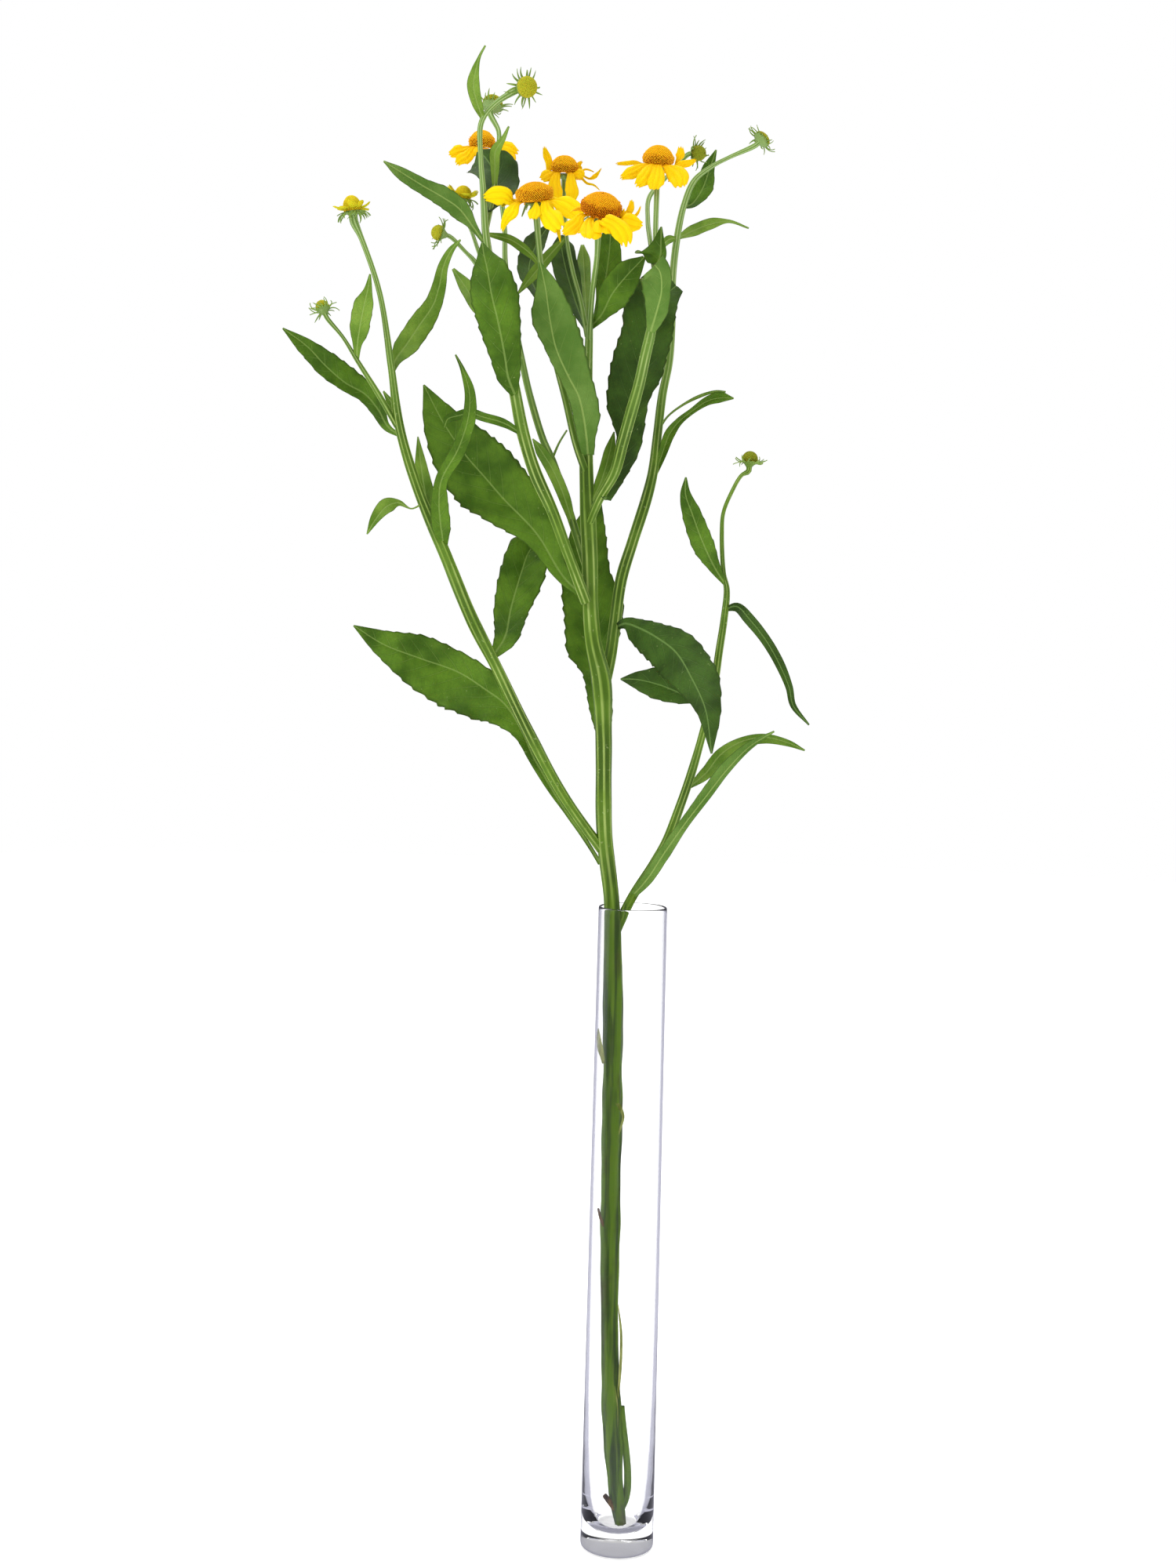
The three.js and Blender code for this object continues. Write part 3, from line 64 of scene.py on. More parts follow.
# Flower heads
# at: middle of the dome as seen from the eye, with its depth. faces: which way the dome points.
# lean: how far the bracts of a bud point up where they start, in degrees.
# rays: angle round the dome (0 right, 90 back, 180 left, 270 front), length, width, how far it
# points up where it starts, and how far it points up at its tip, in degrees.
# petals: rays that droop or curl their own way. Each row: x, z, depth, and half the ray's width.
HEADS = {
    "bloom_left_front": {
        "at": (-64, 740.5, -22), "faces": (-0.1, -0.35, 0.93), "radius": 10.4, "height": 8.5,
        "rays": [(55, 9, 10, 0, -50), (97, 12, 10, 0, -55), (138, 12, 12, 5, -30)],
        "petals": [
            [(-74.5, 737.5, -22, 2.9), (-80, 738, -23, 4.6), (-86, 738, -24, 5.2),
             (-92, 736.5, -25, 2.9)],
            [(-72.5, 733, -24, 2.5), (-76.5, 729, -26, 3.7), (-79.5, 724.5, -27, 2.5),
             (-81.5, 718, -28, 1.4)],
            [(-63, 733.5, -27, 1.2), (-63, 731, -29, 2.6), (-64, 728, -30, 3.6), (-64.5, 725, -31, 2.7)],
            [(-58, 733.5, -27, 2.5), (-57, 729.5, -29, 4.5), (-53, 725, -31, 5.8), (-49, 720, -32, 4.9)],
            [(-54, 736.5, -25, 2.9), (-48.5, 734.5, -26, 5), (-42.5, 731, -27, 5.4),
             (-37.5, 727, -28, 3.7)],
            [(-56, 731.5, -25, 1.2), (-52, 724, -25.5, 1.2), (-50, 717.5, -26, 1.2),
             (-49, 712.5, -26.5, 0.4)],
        ],
    },
    "bloom_right_front": {
        "at": (-27, 734.5, -42), "faces": (0.12, -0.5, 0.86), "radius": 11, "height": 10,
        "rays": [(281, 12, 16, 30, -60), (80, 12, 11, 0, -55), (135, 10, 10, 0, -60)],
        "petals": [
            [(-34.5, 725, -48, 2.6), (-33.5, 721.5, -50, 4.8), (-33, 718.5, -52, 6.2),
             (-33.5, 715.5, -53, 5.2)],
            [(-37.5, 727, -44, 2.4), (-40.5, 724, -45, 3.6), (-44.5, 720.5, -46, 4.2),
             (-48, 717.5, -46, 2.6)],
            [(-26.5, 724.5, -49, 1.6), (-25.5, 726.5, -51, 3.4), (-20.5, 724.5, -52, 3.8),
             (-16, 720.5, -53, 4.8), (-13.5, 715, -53, 5.4), (-13, 711.5, -53, 4)],
            [(-17.5, 727.5, -44, 2.2), (-13.5, 726, -45, 4.2), (-9, 724.5, -45, 4.6),
             (-4, 723.5, -45, 2.8)],
            [(-17, 730, -42, 1.8), (-15, 731, -42, 2.6), (-14.5, 732.5, -42, 2.2)],
            [(-16, 729, -41, 1), (-12.5, 729.5, -41, 1.2), (-11, 733, -41, 1.9),
             (-10.5, 737.5, -41, 1.5)],
            [(-16, 728, -42, 1), (-9.5, 728, -42, 0.8), (-7, 730.5, -42, 0.8), (-5.5, 734.5, -42, 0.6)],
        ],
    },
    "bloom_center": {
        "at": (-48, 756, 10), "faces": (0, -0.3, 0.95), "radius": 7.8, "height": 8,
        "rays": [(70, 12, 10, 0, -50), (120, 12, 10, 0, -50)],
        "petals": [
            [(-55, 753.5, 9, 1.5), (-56.5, 757, 9, 2), (-58, 761, 9, 2.2), (-59.5, 766, 9, 1.3)],
            [(-54, 751.5, 7, 2.2), (-57.5, 749.5, 6, 3.5), (-60.5, 747, 5, 2.6)],
            [(-52, 750, 6, 2.2), (-53, 745, 4, 3.5), (-52.5, 739.5, 3, 4.3), (-50.5, 734, 3, 3.9)],
            [(-44.5, 750.5, 6, 2.2), (-44, 745, 4, 3.2), (-43.5, 740, 3, 3.9), (-44.5, 735, 3, 3.5)],
            [(-42, 752, 7, 2.2), (-39.5, 751, 6, 3), (-37.5, 748.5, 6, 2.2)],
            [(-41.5, 754, 10, 1.3), (-40, 756, 10, 1.7), (-38, 758, 10, 0.9)],
            [(-40, 752.5, 9, 0.7), (-36.5, 753.5, 9, 0.6), (-33.5, 753, 9, 0.5), (-31.5, 752, 9, 0.4)],
            [(-40, 749, 8, 0.7), (-35.5, 746, 8, 0.7), (-31.5, 745, 8, 0.6), (-28, 742, 8, 0.4)],
            [(-39.5, 750.5, 9, 0.6), (-34, 748.5, 9.5, 0.6), (-30.5, 750.5, 10, 1.3),
             (-27.5, 754.5, 10, 0.4)],
        ],
    },
    "bloom_right": {
        "at": (3.5, 762, -10), "faces": (0.05, -0.25, 0.97), "radius": 8.6, "height": 9.3,
        "rays": [(85, 11, 10, 0, -50), (130, 13, 10, 0, -40)],
        "petals": [
            [(-4, 758, -10, 1.3), (-9, 758, -10, 1.3), (-14, 757.5, -10, 1.3), (-20, 757, -10, 1.1)],
            [(-3, 755.5, -13, 2.1), (-8.5, 753.5, -14, 3.4), (-13, 751.5, -15, 3.4),
             (-17.5, 749, -15, 1.7)],
            [(-0.5, 754.5, -15, 2.5), (-3, 751, -17, 3.8), (-6, 747.5, -18, 3.8),
             (-8.5, 744.5, -18, 2.5)],
            [(3.5, 754, -16, 2.5), (3, 750, -18, 4.2), (2, 746.5, -19, 4.6), (1.5, 743, -20, 3.3)],
            [(8, 756, -14, 2.9), (12.5, 753.5, -16, 5), (15, 750, -18, 5.9), (16, 744.5, -19, 4.6)],
            [(11, 758.5, -10, 1.3), (14.5, 760.5, -10, 1.3), (15.5, 763.5, -10, 2.5),
             (15.5, 767.5, -10, 2.1)],
            [(10.5, 757.5, -11, 1.7), (15.5, 757.5, -12, 2.1), (20, 758.5, -12, 2.1),
             (24.5, 760.5, -12, 1.3)],
        ],
    },
    "bloom_back_left": {
        "at": (-93.5, 768.5, 22), "faces": (0, -0.22, 0.97), "radius": 7.4, "height": 8.5,
        "rays": [(30, 11, 9, 0, -50), (85, 11, 9, 0, -50), (140, 11, 9, 0, -50)],
        "petals": [
            [(-100, 763.5, 20, 2.2), (-103, 762.5, 19, 3.5), (-107, 761.5, 18, 4),
             (-111.5, 759.5, 18, 2.6)],
            [(-98.5, 762, 18, 2.2), (-101.5, 759, 17, 3.5), (-105, 757, 16, 4), (-107.5, 754, 16, 2.2)],
            [(-96.5, 763.5, 16, 1.3), (-96.5, 761.5, 15, 1.6), (-97, 759, 14, 0.9)],
            [(-86.5, 764.5, 20, 2.2), (-82.5, 765, 19, 3.5), (-78.5, 763.5, 18, 4.4),
             (-73.5, 761, 18, 3.1)],
            [(-85, 762.5, 19, 2.2), (-81, 760.5, 18, 3.5), (-77.5, 759, 17, 3.5), (-75.5, 756, 16, 2.2)],
        ],
    },
}

BUDS = {
    "head_opening_left": {
        "at": (-164, 731, -31), "faces": (-0.15, -0.1, 0.98), "radius": 5.2, "height": 8, "lean": -5,
        "yellow": True,
    },
    "head_half_open": {
        "at": (-103, 739, -3), "faces": (0.1, -0.2, 0.97), "radius": 5, "height": 6.5, "lean": -5,
        "yellow": True,
    },
    "bud_top_front": {
        "at": (-69, 798, -29), "faces": (0.5, -0.85, -0.12), "radius": 6, "height": 6, "lean": -10,
    },
    "bud_top_back": {
        "at": (-88, 789, -4), "faces": (0.15, 0.4, 0.9), "radius": 6, "height": 6, "lean": 20,
    },
    "bud_left": {
        "at": (-117, 717, -22), "faces": (-0.92, -0.25, 0.25), "radius": 4.4, "height": 5, "lean": 15,
    },
    "bud_right": {
        "at": (26, 764, 14), "faces": (0.72, -0.66, -0.08), "radius": 4.6, "height": 6, "lean": 15,
    },
    "bud_far_right": {
        "at": (60.5, 773, 20), "faces": (0.66, 0.3, 0.69), "radius": 5.4, "height": 3.2, "lean": -8,
    },
    "bud_low_right": {
        "at": (58, 598, -8), "faces": (0.1, -0.1, 1), "radius": 4.6, "height": 5.5, "lean": 0,
    },
    "bud_far_left": {
        "at": (-179, 675, -32), "faces": (-0.4, 0.3, 0.86), "radius": 3.8, "height": 5, "lean": 15,
    },
}

ALL_HEADS = {**HEADS, **BUDS}


# Small helpers
CURVE_STEPS = 24


def unit(vectors):
    return vectors / np.linalg.norm(vectors, axis=-1, keepdims=True)


def smoothstep(values, low, high):
    share = np.clip((values - low) / (high - low), 0, 1)
    return share * share * (3 - 2 * share)


def linear(code):
    """A colour written as six hex digits, as the linear colour that a shader takes."""
    channels = [int(code[i:i + 2], 16) / 255 for i in (0, 2, 4)]
    curve = [c / 12.92 if c <= 0.04045 else ((c + 0.055) / 1.055) ** 2.4 for c in channels]
    return (*curve, 1.0)


def place(x, z, depth):
    """A point seen at x, z on the plane through the vase's axis, moved back along its line of sight."""
    y = depth * DEPTH_STEP
    reach = (y - EYE[1]) / -EYE[1]
    return np.array([EYE[0] + (x - EYE[0]) * reach, y, EYE[2] + (z - EYE[2]) * reach])


def columns_at(at, stations, table):
    """Each column of a table of points, read between its stations."""
    return np.stack([np.interp(at, stations, table[:, k]) for k in range(table.shape[1])], axis=-1)


def ease(values, at):
    """The values at whole steps, eased between them without overshoot."""
    steps = np.diff(values)
    slopes = np.zeros(len(values))
    same = steps[:-1] * steps[1:] > 0
    pair = 2 * steps[:-1] * steps[1:] / np.where(same, steps[:-1] + steps[1:], 1)
    slopes[1:-1] = np.where(same, pair, 0)
    slopes[0], slopes[-1] = steps[0], steps[-1]
    i = np.clip(at.astype(int), 0, len(values) - 2)
    t = at - i
    start, end = values[i], values[i + 1]
    rise = slopes[i] * t * (1 - t) ** 2 - slopes[i + 1] * t * t * (1 - t)
    return start + (end - start) * t * t * (3 - 2 * t) + rise


def route(rows, spacing, knots=None):
    """Points along the smooth line through the rows, their distance along it, and the other numbers."""
    if knots is None:
        knots = np.array([place(*row[:3]) for row in rows])
    extra = np.array([row[3:] for row in rows], float)
    chain = np.vstack([2 * knots[0] - knots[1], knots, 2 * knots[-1] - knots[-2]])
    share = np.linspace(0, 1, CURVE_STEPS, endpoint=False)[:, None]
    line = []
    step = []
    for i in range(len(knots) - 1):
        p0, p1, p2, p3 = chain[i:i + 4]
        d0, d1, d2 = np.sqrt(np.linalg.norm(np.diff(chain[i:i + 4], axis=0), axis=1))
        m1 = d1 * ((p1 - p0) / d0 - (p2 - p0) / (d0 + d1) + (p2 - p1) / d1)
        m2 = d1 * ((p2 - p1) / d1 - (p3 - p1) / (d1 + d2) + (p3 - p2) / d2)
        square = 3 * (p2 - p1) - 2 * m1 - m2
        cube = 2 * (p1 - p2) + m1 + m2
        line.append(p1 + share * m1 + share**2 * square + share**3 * cube)
        step.append(i + share[:, 0])
    line = np.vstack([*line, knots[-1:]])
    step = np.concatenate([*step, [len(knots) - 1]])
    distance = np.concatenate([[0], np.cumsum(np.linalg.norm(np.diff(line, axis=0), axis=1))])
    count = max(6, round(distance[-1] / spacing))
    stations = np.linspace(0, distance[-1], count + 1)
    at = np.interp(stations, distance, step)
    numbers = np.stack([ease(extra[:, k], at) for k in range(extra.shape[1])], axis=1)
    return columns_at(stations, distance, line), stations, numbers


def directions_across(points):
    """Two directions across a line at each of its points, carried along it without twist."""
    tangents = unit(np.gradient(points, axis=0))
    across = np.cross(tangents[0], [0.0, 1.0, 0.0])
    if np.linalg.norm(across) < 0.2:
        across = np.cross(tangents[0], [1.0, 0.0, 0.0])
    normals = []
    for tangent in tangents:
        across = unit(across - tangent * np.dot(across, tangent))
        normals.append(across)
    return np.array(normals), np.cross(tangents, normals)


class Shape:
    """The points, faces and per-point numbers of one mesh, gathered part by part."""

    def __init__(self, *channels):
        self.points = []
        self.faces = []
        self.channels = {name: [] for name in channels}
        self.count = 0

    def add(self, points, faces, **numbers):
        points = np.asarray(points, float).reshape(-1, 3)
        self.points.append(points)
        self.faces.extend((np.asarray(face) + self.count).tolist() for face in faces)
        for name, store in self.channels.items():
            value = np.asarray(numbers.get(name, 0.0), float).reshape(-1)
            store.append(np.broadcast_to(value, (len(points),)))
        self.count += len(points)

    def piece(self, name, material, slot, node):
        mesh = bpy.data.meshes.new(name)
        mesh.from_pydata((np.concatenate(self.points) * MM).tolist(), [], self.faces)
        for channel, store in self.channels.items():
            attribute = mesh.attributes.new(channel, "FLOAT", "POINT")
            attribute.data.foreach_set("value", np.concatenate(store).astype(np.float32))
        mesh.polygons.foreach_set("use_smooth", [True] * len(mesh.polygons))
        mesh.materials.append(material)
        piece = add_object(name, mesh)
        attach(piece, "root")
        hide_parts(node)


def add_object(name, data):
    added = bpy.data.objects.new(name, data)
    bpy.context.scene.collection.objects.link(added)
    return added


def grid_faces(rows, columns, closed=False):
    """Quads of a grid of points, row by row, whose columns may join up into a tube."""
    i, j = np.meshgrid(np.arange(rows - 1), np.arange(columns if closed else columns - 1), indexing="ij")
    a = i * columns + j
    b = i * columns + (j + 1) % columns
    return np.stack([a, b, b + columns, a + columns], axis=-1).reshape(-1, 4)


def add_shell(shape, top, bottom, **numbers):
    """A closed thin body between two grids of points. Numbers come as pairs, top and bottom."""
    rows, columns = top.shape[:2]
    count = rows * columns
    faces = list(grid_faces(rows, columns))
    faces += [[b + count, a + count, d + count, c + count] for a, b, c, d in grid_faces(rows, columns)]
    rim = list(range(columns))
    rim += [i * columns + columns - 1 for i in range(1, rows)]
    rim += [(rows - 1) * columns + j for j in range(columns - 2, -1, -1)]
    rim += [i * columns for i in range(rows - 2, 0, -1)]
    faces += [[b, a, a + count, b + count] for a, b in zip(rim, rim[1:] + rim[:1])]
    both = {name: np.concatenate([np.ravel(a), np.ravel(b)]) for name, (a, b) in numbers.items()}
    shape.add(np.concatenate([top.reshape(-1, 3), bottom.reshape(-1, 3)]), faces, **both)


def add_tube(shape, rings, **numbers):
    """A closed tube through rings of points, with a point in the middle of each end."""
    rows, sides = rings.shape[:2]
    count = rows * sides
    faces = list(grid_faces(rows, sides, closed=True))
    for j in range(sides):
        following = (j + 1) % sides
        faces.append([count, following, j])
        faces.append([count + 1, count - sides + j, count - sides + following])
    ends = np.stack([rings[0].mean(axis=0), rings[-1].mean(axis=0)])
    closed = {}
    for name, value in numbers.items():
        flat = np.broadcast_to(value, (rows, sides)).reshape(-1)
        closed[name] = np.concatenate([flat, [flat[0], flat[-1]]])
    shape.add(np.concatenate([rings.reshape(-1, 3), ends]), faces, **closed)


# Flower heads
RAY_LEVEL = -GAP - 0.5 * PLATE
RAY_FOOT = 0.7
SEAT_BELOW_MIDDLE = 0.42


class Head:
    """The frame of a flower head: its seat under the dome, its axis and two directions across."""

    def __init__(self, head):
        self.radius = head["radius"]
        self.height = head["height"]
        self.axis = unit(np.array(head["faces"], float))
        right = np.array([1.0, 0, 0]) if abs(self.axis[0]) <= 0.85 else np.array([0, 1.0, 0])
        self.right = unit(right - self.axis * np.dot(right, self.axis))
        self.back = np.cross(self.axis, self.right)
        self.seat = place(*head["at"]) - SEAT_BELOW_MIDDLE * self.height * self.axis
        self.drop = PLATE + 2 * GAP if "rays" in head else GAP

    def out(self, degrees):
        angle = np.radians(degrees)[..., None]
        return np.cos(angle) * self.right + np.sin(angle) * self.back

    def point(self, degrees, reach, height):
        degrees, reach, height = np.broadcast_arrays(*map(np.float64, (degrees, reach, height)))
        return self.seat + self.out(degrees) * reach[..., None] + self.axis * height[..., None]

    def dome(self, rise):
        """Reach and height of the dome where it has risen by that angle, 0 at its foot to 90 degrees."""
        belly = 0.82 + 0.18 * np.sin(np.minimum(1, 2.2 * rise / (0.5 * np.pi)) * 0.5 * np.pi)
        return self.radius * np.cos(0.98 * rise) * belly, self.height * np.sin(rise)


def under_head(head, radius):
    """The last two rows of the route of a stalk, straight up into the cup of its head."""
    rows = []
    for level in (CUP + STRAIGHT, 0.6 * CUP):
        x, y, z = head.point(0, 0, -head.drop - level)
        reach = (y - EYE[1]) / -EYE[1]
        rows.append((EYE[0] + (x - EYE[0]) / reach, EYE[2] + (z - EYE[2]) / reach, y / DEPTH_STEP, radius))
    return rows


CORE_RINGS = 14
CORE_SIDES = 40


def add_dome_core(shape, head, size):
    """The smooth body that the florets stand on. Its foot reaches down to the rays."""
    reach, height = head.dome(np.linspace(0, 0.5 * np.pi, CORE_RINGS))
    reach = np.concatenate([[0.02, 0.8 * head.radius], reach * size])
    height = np.concatenate([[-RAY_FOOT, -RAY_FOOT], height * size])
    degrees = np.arange(CORE_SIDES) * 360 / CORE_SIDES
    add_tube(shape, head.point(degrees[None, :], reach[:, None], height[:, None]))


FLORET_RINGS = ((-0.4, 0.42), (0.15, 0.54), (0.62, 0.48), (0.9, 0.22))
FLORET_SIDES = 6
GOLDEN_ANGLE = math.pi * (3 - math.sqrt(5))


def add_florets(shape, head, pitch, ripe_from, stand=1.0):
    """Florets all over the dome, along a golden-angle spiral. Past ripe_from, as a share of the way down,
    they are open: taller, with a bright knob at the tip."""
    area = 2 * math.pi * head.radius * head.height * 1.08
    count = int(area / pitch**2)
    down = (np.arange(count) + 0.5) / count
    reach, height = head.dome(np.arcsin(1 - down))
    degrees = np.degrees(np.arange(count) * GOLDEN_ANGLE)
    foot = head.point(degrees, reach, height)
    tilt = unit(np.stack([reach / head.radius**2, height / head.height**2], axis=1))
    up = unit(head.out(degrees) * tilt[:, :1] + head.axis * tilt[:, 1:])
    up = unit(up + rng.normal(0, 0.09, (count, 3)))
    side = unit(np.cross(up, head.axis + 1e-3))
    other = np.cross(up, side)
    ripe = smoothstep(down + rng.normal(0, 0.06, count), ripe_from - 0.15, ripe_from + 0.15)
    wide = pitch * (1.0 - 0.12 * ripe) * (0.9 + 0.2 * rng.random(count))
    tall = pitch * stand * (0.35 + 1.1 * ripe) * (0.8 + 0.4 * rng.random(count))
    shade = rng.random(count)
    turn = 2 * math.pi * np.arange(FLORET_SIDES) / FLORET_SIDES
    spin = rng.random(count)[:, None] * math.pi + turn[None, :]
    level = np.linspace(0, 1, len(FLORET_RINGS))[:, None]
    for k in range(count):
        spokes = np.cos(spin[k])[:, None] * side[k] + np.sin(spin[k])[:, None] * other[k]
        reach = [spokes * (radius * wide[k]) for _, radius in FLORET_RINGS]
        rings = [foot[k] + up[k] * rise * tall[k] + out for (rise, _), out in zip(FLORET_RINGS, reach)]
        add_tube(shape, np.array(rings), level=level, ripe=ripe[k], shade=shade[k])


RAY_ROWS = 22
RAY_COLUMNS = 17
RAY_WIDTHS = ((-0.35, 0.24), (0.0, 0.48), (0.25, 0.68), (0.5, 0.84), (0.84, 1.0), (1.0, 0.94))
PETAL_WIDTHS = ((0.0, 0.45), (0.2, 0.8), (0.45, 1.0), (0.86, 1.0), (1.0, 0.9))
RAY_SHEET = 0.32
RAY_START = -0.35
PETAL_STEP = 0.35


def lobed(share):
    """How far along the ray each point of its grid lies, so that its end has three round lobes."""
    side = np.linspace(-1, 1, RAY_COLUMNS)
    notch = (1 - np.abs(np.cos(1.5 * np.pi * side))) ** 1.5
    lobes = 1 - rng.uniform(0.05, 0.12) * notch - 0.08 * side**2
    lobes = lobes * (1 + 0.012 * rng.normal(0, 1, RAY_COLUMNS) * (np.abs(side) < 0.9))
    return share[:, None] * (1 - (1 - lobes)[None, :] * np.clip(share, 0, 1)[:, None] ** 2.5)


def add_ray_sheet(shape, centre, across, normal, half, past):
    """The thin blade of a ray over a grid of middle points: pleated, hollow and rippled at its sides."""
    side = np.linspace(-1, 1, RAY_COLUMNS)
    width = 2 * half.max()
    sideways = side[None, :] * half[:, None]
    pleat = 0.03 * width * np.cos(3 * np.pi * side)[None, :] * np.clip(3 * past, 0, 1)
    channel = -0.14 * width * (side**2)[None, :] * past
    ripple = 0.055 * width * (side**2)[None, :] * past
    ripple = ripple * np.sin(6 * past + rng.uniform(0, 6.3) + 1.5 * np.sign(side)[None, :])
    swell = 0.03 * width * np.sin(5 * past + rng.uniform(0, 6.3)) * past
    turn = np.radians(rng.normal(0, 5)) * past
    lift = pleat + channel + ripple + swell + sideways * np.sin(turn)
    middle = centre + across * (sideways * np.cos(turn))[..., None]
    sheet = RAY_SHEET * (1 - 0.5 * side**4)[None, :, None]
    top = middle + normal * (lift[..., None] + 0.5 * sheet)
    bottom = middle + normal * (lift[..., None] - 0.5 * sheet)
    sides = np.broadcast_to(side, past.shape)
    tone = np.full(past.shape, rng.random())
    under = np.zeros(past.shape)
    add_shell(shape, top, bottom, side=(sides, sides), past=(past, past), tone=(tone, tone),
              under=(under, under + 1))


def add_ray(shape, head, ray):
    """A ray that leaves the dome at an angle round it, and bends evenly from one lean to another."""
    degrees, length, width, start_lean, tip_lean = ray
    free = length - 0.02 * head.radius
    out = head.out(degrees)
    share = np.linspace(RAY_START, 1, RAY_ROWS)
    along = lobed(share)
    half = 0.5 * width * np.interp(share, *np.array(RAY_WIDTHS).T)
    past = np.clip(along, 0, None)
    lean = np.radians(start_lean + (tip_lean - start_lean) * past + rng.normal(0, 3))
    middle = 0.5 * (lean + np.radians(start_lean))
    forward = np.where(along > 0, free * along * np.cos(middle), head.radius * along)
    upward = np.where(along > 0, free * along * np.sin(middle), 0)
    normal = head.axis * np.cos(lean)[..., None] - out * np.sin(lean)[..., None]
    centre = head.point(degrees, 1.02 * head.radius, RAY_LEVEL) + out * forward[..., None]
    centre = centre + head.axis * upward[..., None]
    add_ray_sheet(shape, centre, head.out(degrees + 90), normal, half, past)


def add_petal(shape, head, rows):
    """A ray along its own rows. It leaves the dome level, with its face up the dome's axis, and turns
    its face to the front as it goes."""
    away = place(*rows[0][:3]) - head.seat
    degrees = math.degrees(math.atan2(np.dot(away, head.back), np.dot(away, head.right)))
    start = [head.point(degrees, share * head.radius, RAY_LEVEL) for share in (0.6, 1.1)]
    knots = np.array([*start, *(place(*row[:3]) for row in rows[1:])])
    points, stations, numbers = route([(0, 0, 0, 0.5 * rows[0][3]), *rows], PETAL_STEP, knots)
    share = np.linspace(0, 1, RAY_ROWS)
    along = lobed(share)
    centre = columns_at(along * stations[-1], stations, points)
    forward = unit(np.gradient(points, axis=0))
    turned = np.minimum(1, 2 * stations / stations[-1])[:, None]
    across = unit(np.cross(head.axis + (FRONT - head.axis) * turned, forward))
    at = share * stations[-1]
    across = unit(columns_at(at, stations, across))
    normal = np.cross(unit(columns_at(at, stations, forward)), across)[:, None, :]
    half = np.interp(at, stations, numbers[:, 0]) * np.interp(share, *np.array(PETAL_WIDTHS).T)
    add_ray_sheet(shape, centre, across[:, None, :], normal, half, along)


BRACT_ROWS = 11
BLOOM_BRACTS = 13
YELLOW_HEAD_BRACTS = 24
BUD_BRACTS = 17
CALYX_NECK = 1.4
CALYX_SIDES = 24
FLUTES = 8
STUBS = 9


def add_bract(shape, head, turn, start, length, width, lean, curl, sway, taper=0.6):
    """A narrow tongue that tapers to a point, curls up and sways sideways as it goes."""
    out, across = head.out(turn), head.out(turn + 90)
    share = np.linspace(0, 1, BRACT_ROWS)
    angle = np.radians(lean + curl * share**1.4)
    step = length / (BRACT_ROWS - 1)
    forward = np.concatenate([[0], np.cumsum(np.cos(angle[:-1]))]) * step
    upward = np.concatenate([[0], np.cumsum(np.sin(angle[:-1]))]) * step
    sideways = length * math.sin(math.radians(sway)) * share**2
    centre = start + out * forward[:, None] + head.axis * upward[:, None] + across * sideways[:, None]
    normal = head.axis * np.cos(angle)[:, None] - out * np.sin(angle)[:, None]
    half = 0.5 * width * (1 - share) ** taper + 0.06
    side = np.array([-1.0, 0.0, 1.0])
    middle = centre[:, None, :] + across * (half[:, None] * side)[..., None]
    dish = 0.3 * half[:, None] * side**2
    sheet = 0.22 * (1.15 - side**2)
    top = middle + normal[:, None, :] * (dish + sheet)[..., None]
    bottom = middle + normal[:, None, :] * (dish - sheet)[..., None]
    reach = half[:, None] * np.abs(side)
    add_shell(shape, top, bottom, reach=(reach, reach))


def add_calyx(green, leafy, name):
    """The cup under a head, and its bracts: curled up round a bud, hanging under an open bloom."""
    head = Head(ALL_HEADS[name])
    bloom = name in HEADS
    yellow = ALL_HEADS[name].get("yellow")
    level = -head.drop
    rim = (0.55 if bloom else 0.93) * head.radius
    profile = [(CALYX_NECK, level - CUP - 0.6), (CALYX_NECK + 0.3, level - CUP)]
    profile += [(0.62 * rim, level - 0.55 * CUP), (0.93 * rim, level - 0.2 * CUP), (rim, level)]
    profile += [(0.02, level + 0.1)]
    reach, height = np.array(profile).T
    degrees = np.arange(CALYX_SIDES) * 360 / CALYX_SIDES
    flutes = 1 + 0.03 * np.cos(np.radians(degrees * FLUTES))[None, :]
    add_tube(green, head.point(degrees[None, :], reach[:, None] * flutes, height[:, None]), ridge=0.5)
    count = BLOOM_BRACTS if bloom else YELLOW_HEAD_BRACTS if yellow else BUD_BRACTS
    for k in range(count):
        turn = 360 * (k + rng.uniform(-0.35, 0.35)) / count
        length = 0.55 * head.radius + 0.5 if bloom else 0.5 * head.radius + 3.2
        length *= rng.uniform(0.8, 1.25)
        lean = (-50 if bloom else ALL_HEADS[name]["lean"]) + rng.uniform(-18, 18)
        curl = rng.uniform(-10, 30) if bloom else rng.choice((1, 1, -1)) * rng.uniform(20, 95)
        width = rng.uniform(1.0, 1.5)
        if yellow:
            lean, curl, width = rng.uniform(-45, 0), -rng.uniform(20, 110), rng.uniform(1.2, 1.9)
        start = head.point(turn, 0.86 * rim, level - 0.3)
        add_bract(leafy, head, turn, start, length, width, lean, curl, rng.uniform(-28, 28))


def add_stubs(shape, head):
    """Short unopened rays round the edge of an opening head, each a folded tongue that points up."""
    for k in range(STUBS):
        turn = 360 * (k + rng.uniform(-0.25, 0.25)) / STUBS
        start = head.point(turn, 0.85 * head.radius, 1.0)
        size = rng.uniform(5.0, 7.4), rng.uniform(4.2, 5.6)
        bend = rng.uniform(-10, 35), rng.uniform(-10, 80), rng.uniform(-20, 20)
        add_bract(shape, head, turn, start, *size, *bend, taper=0.25)


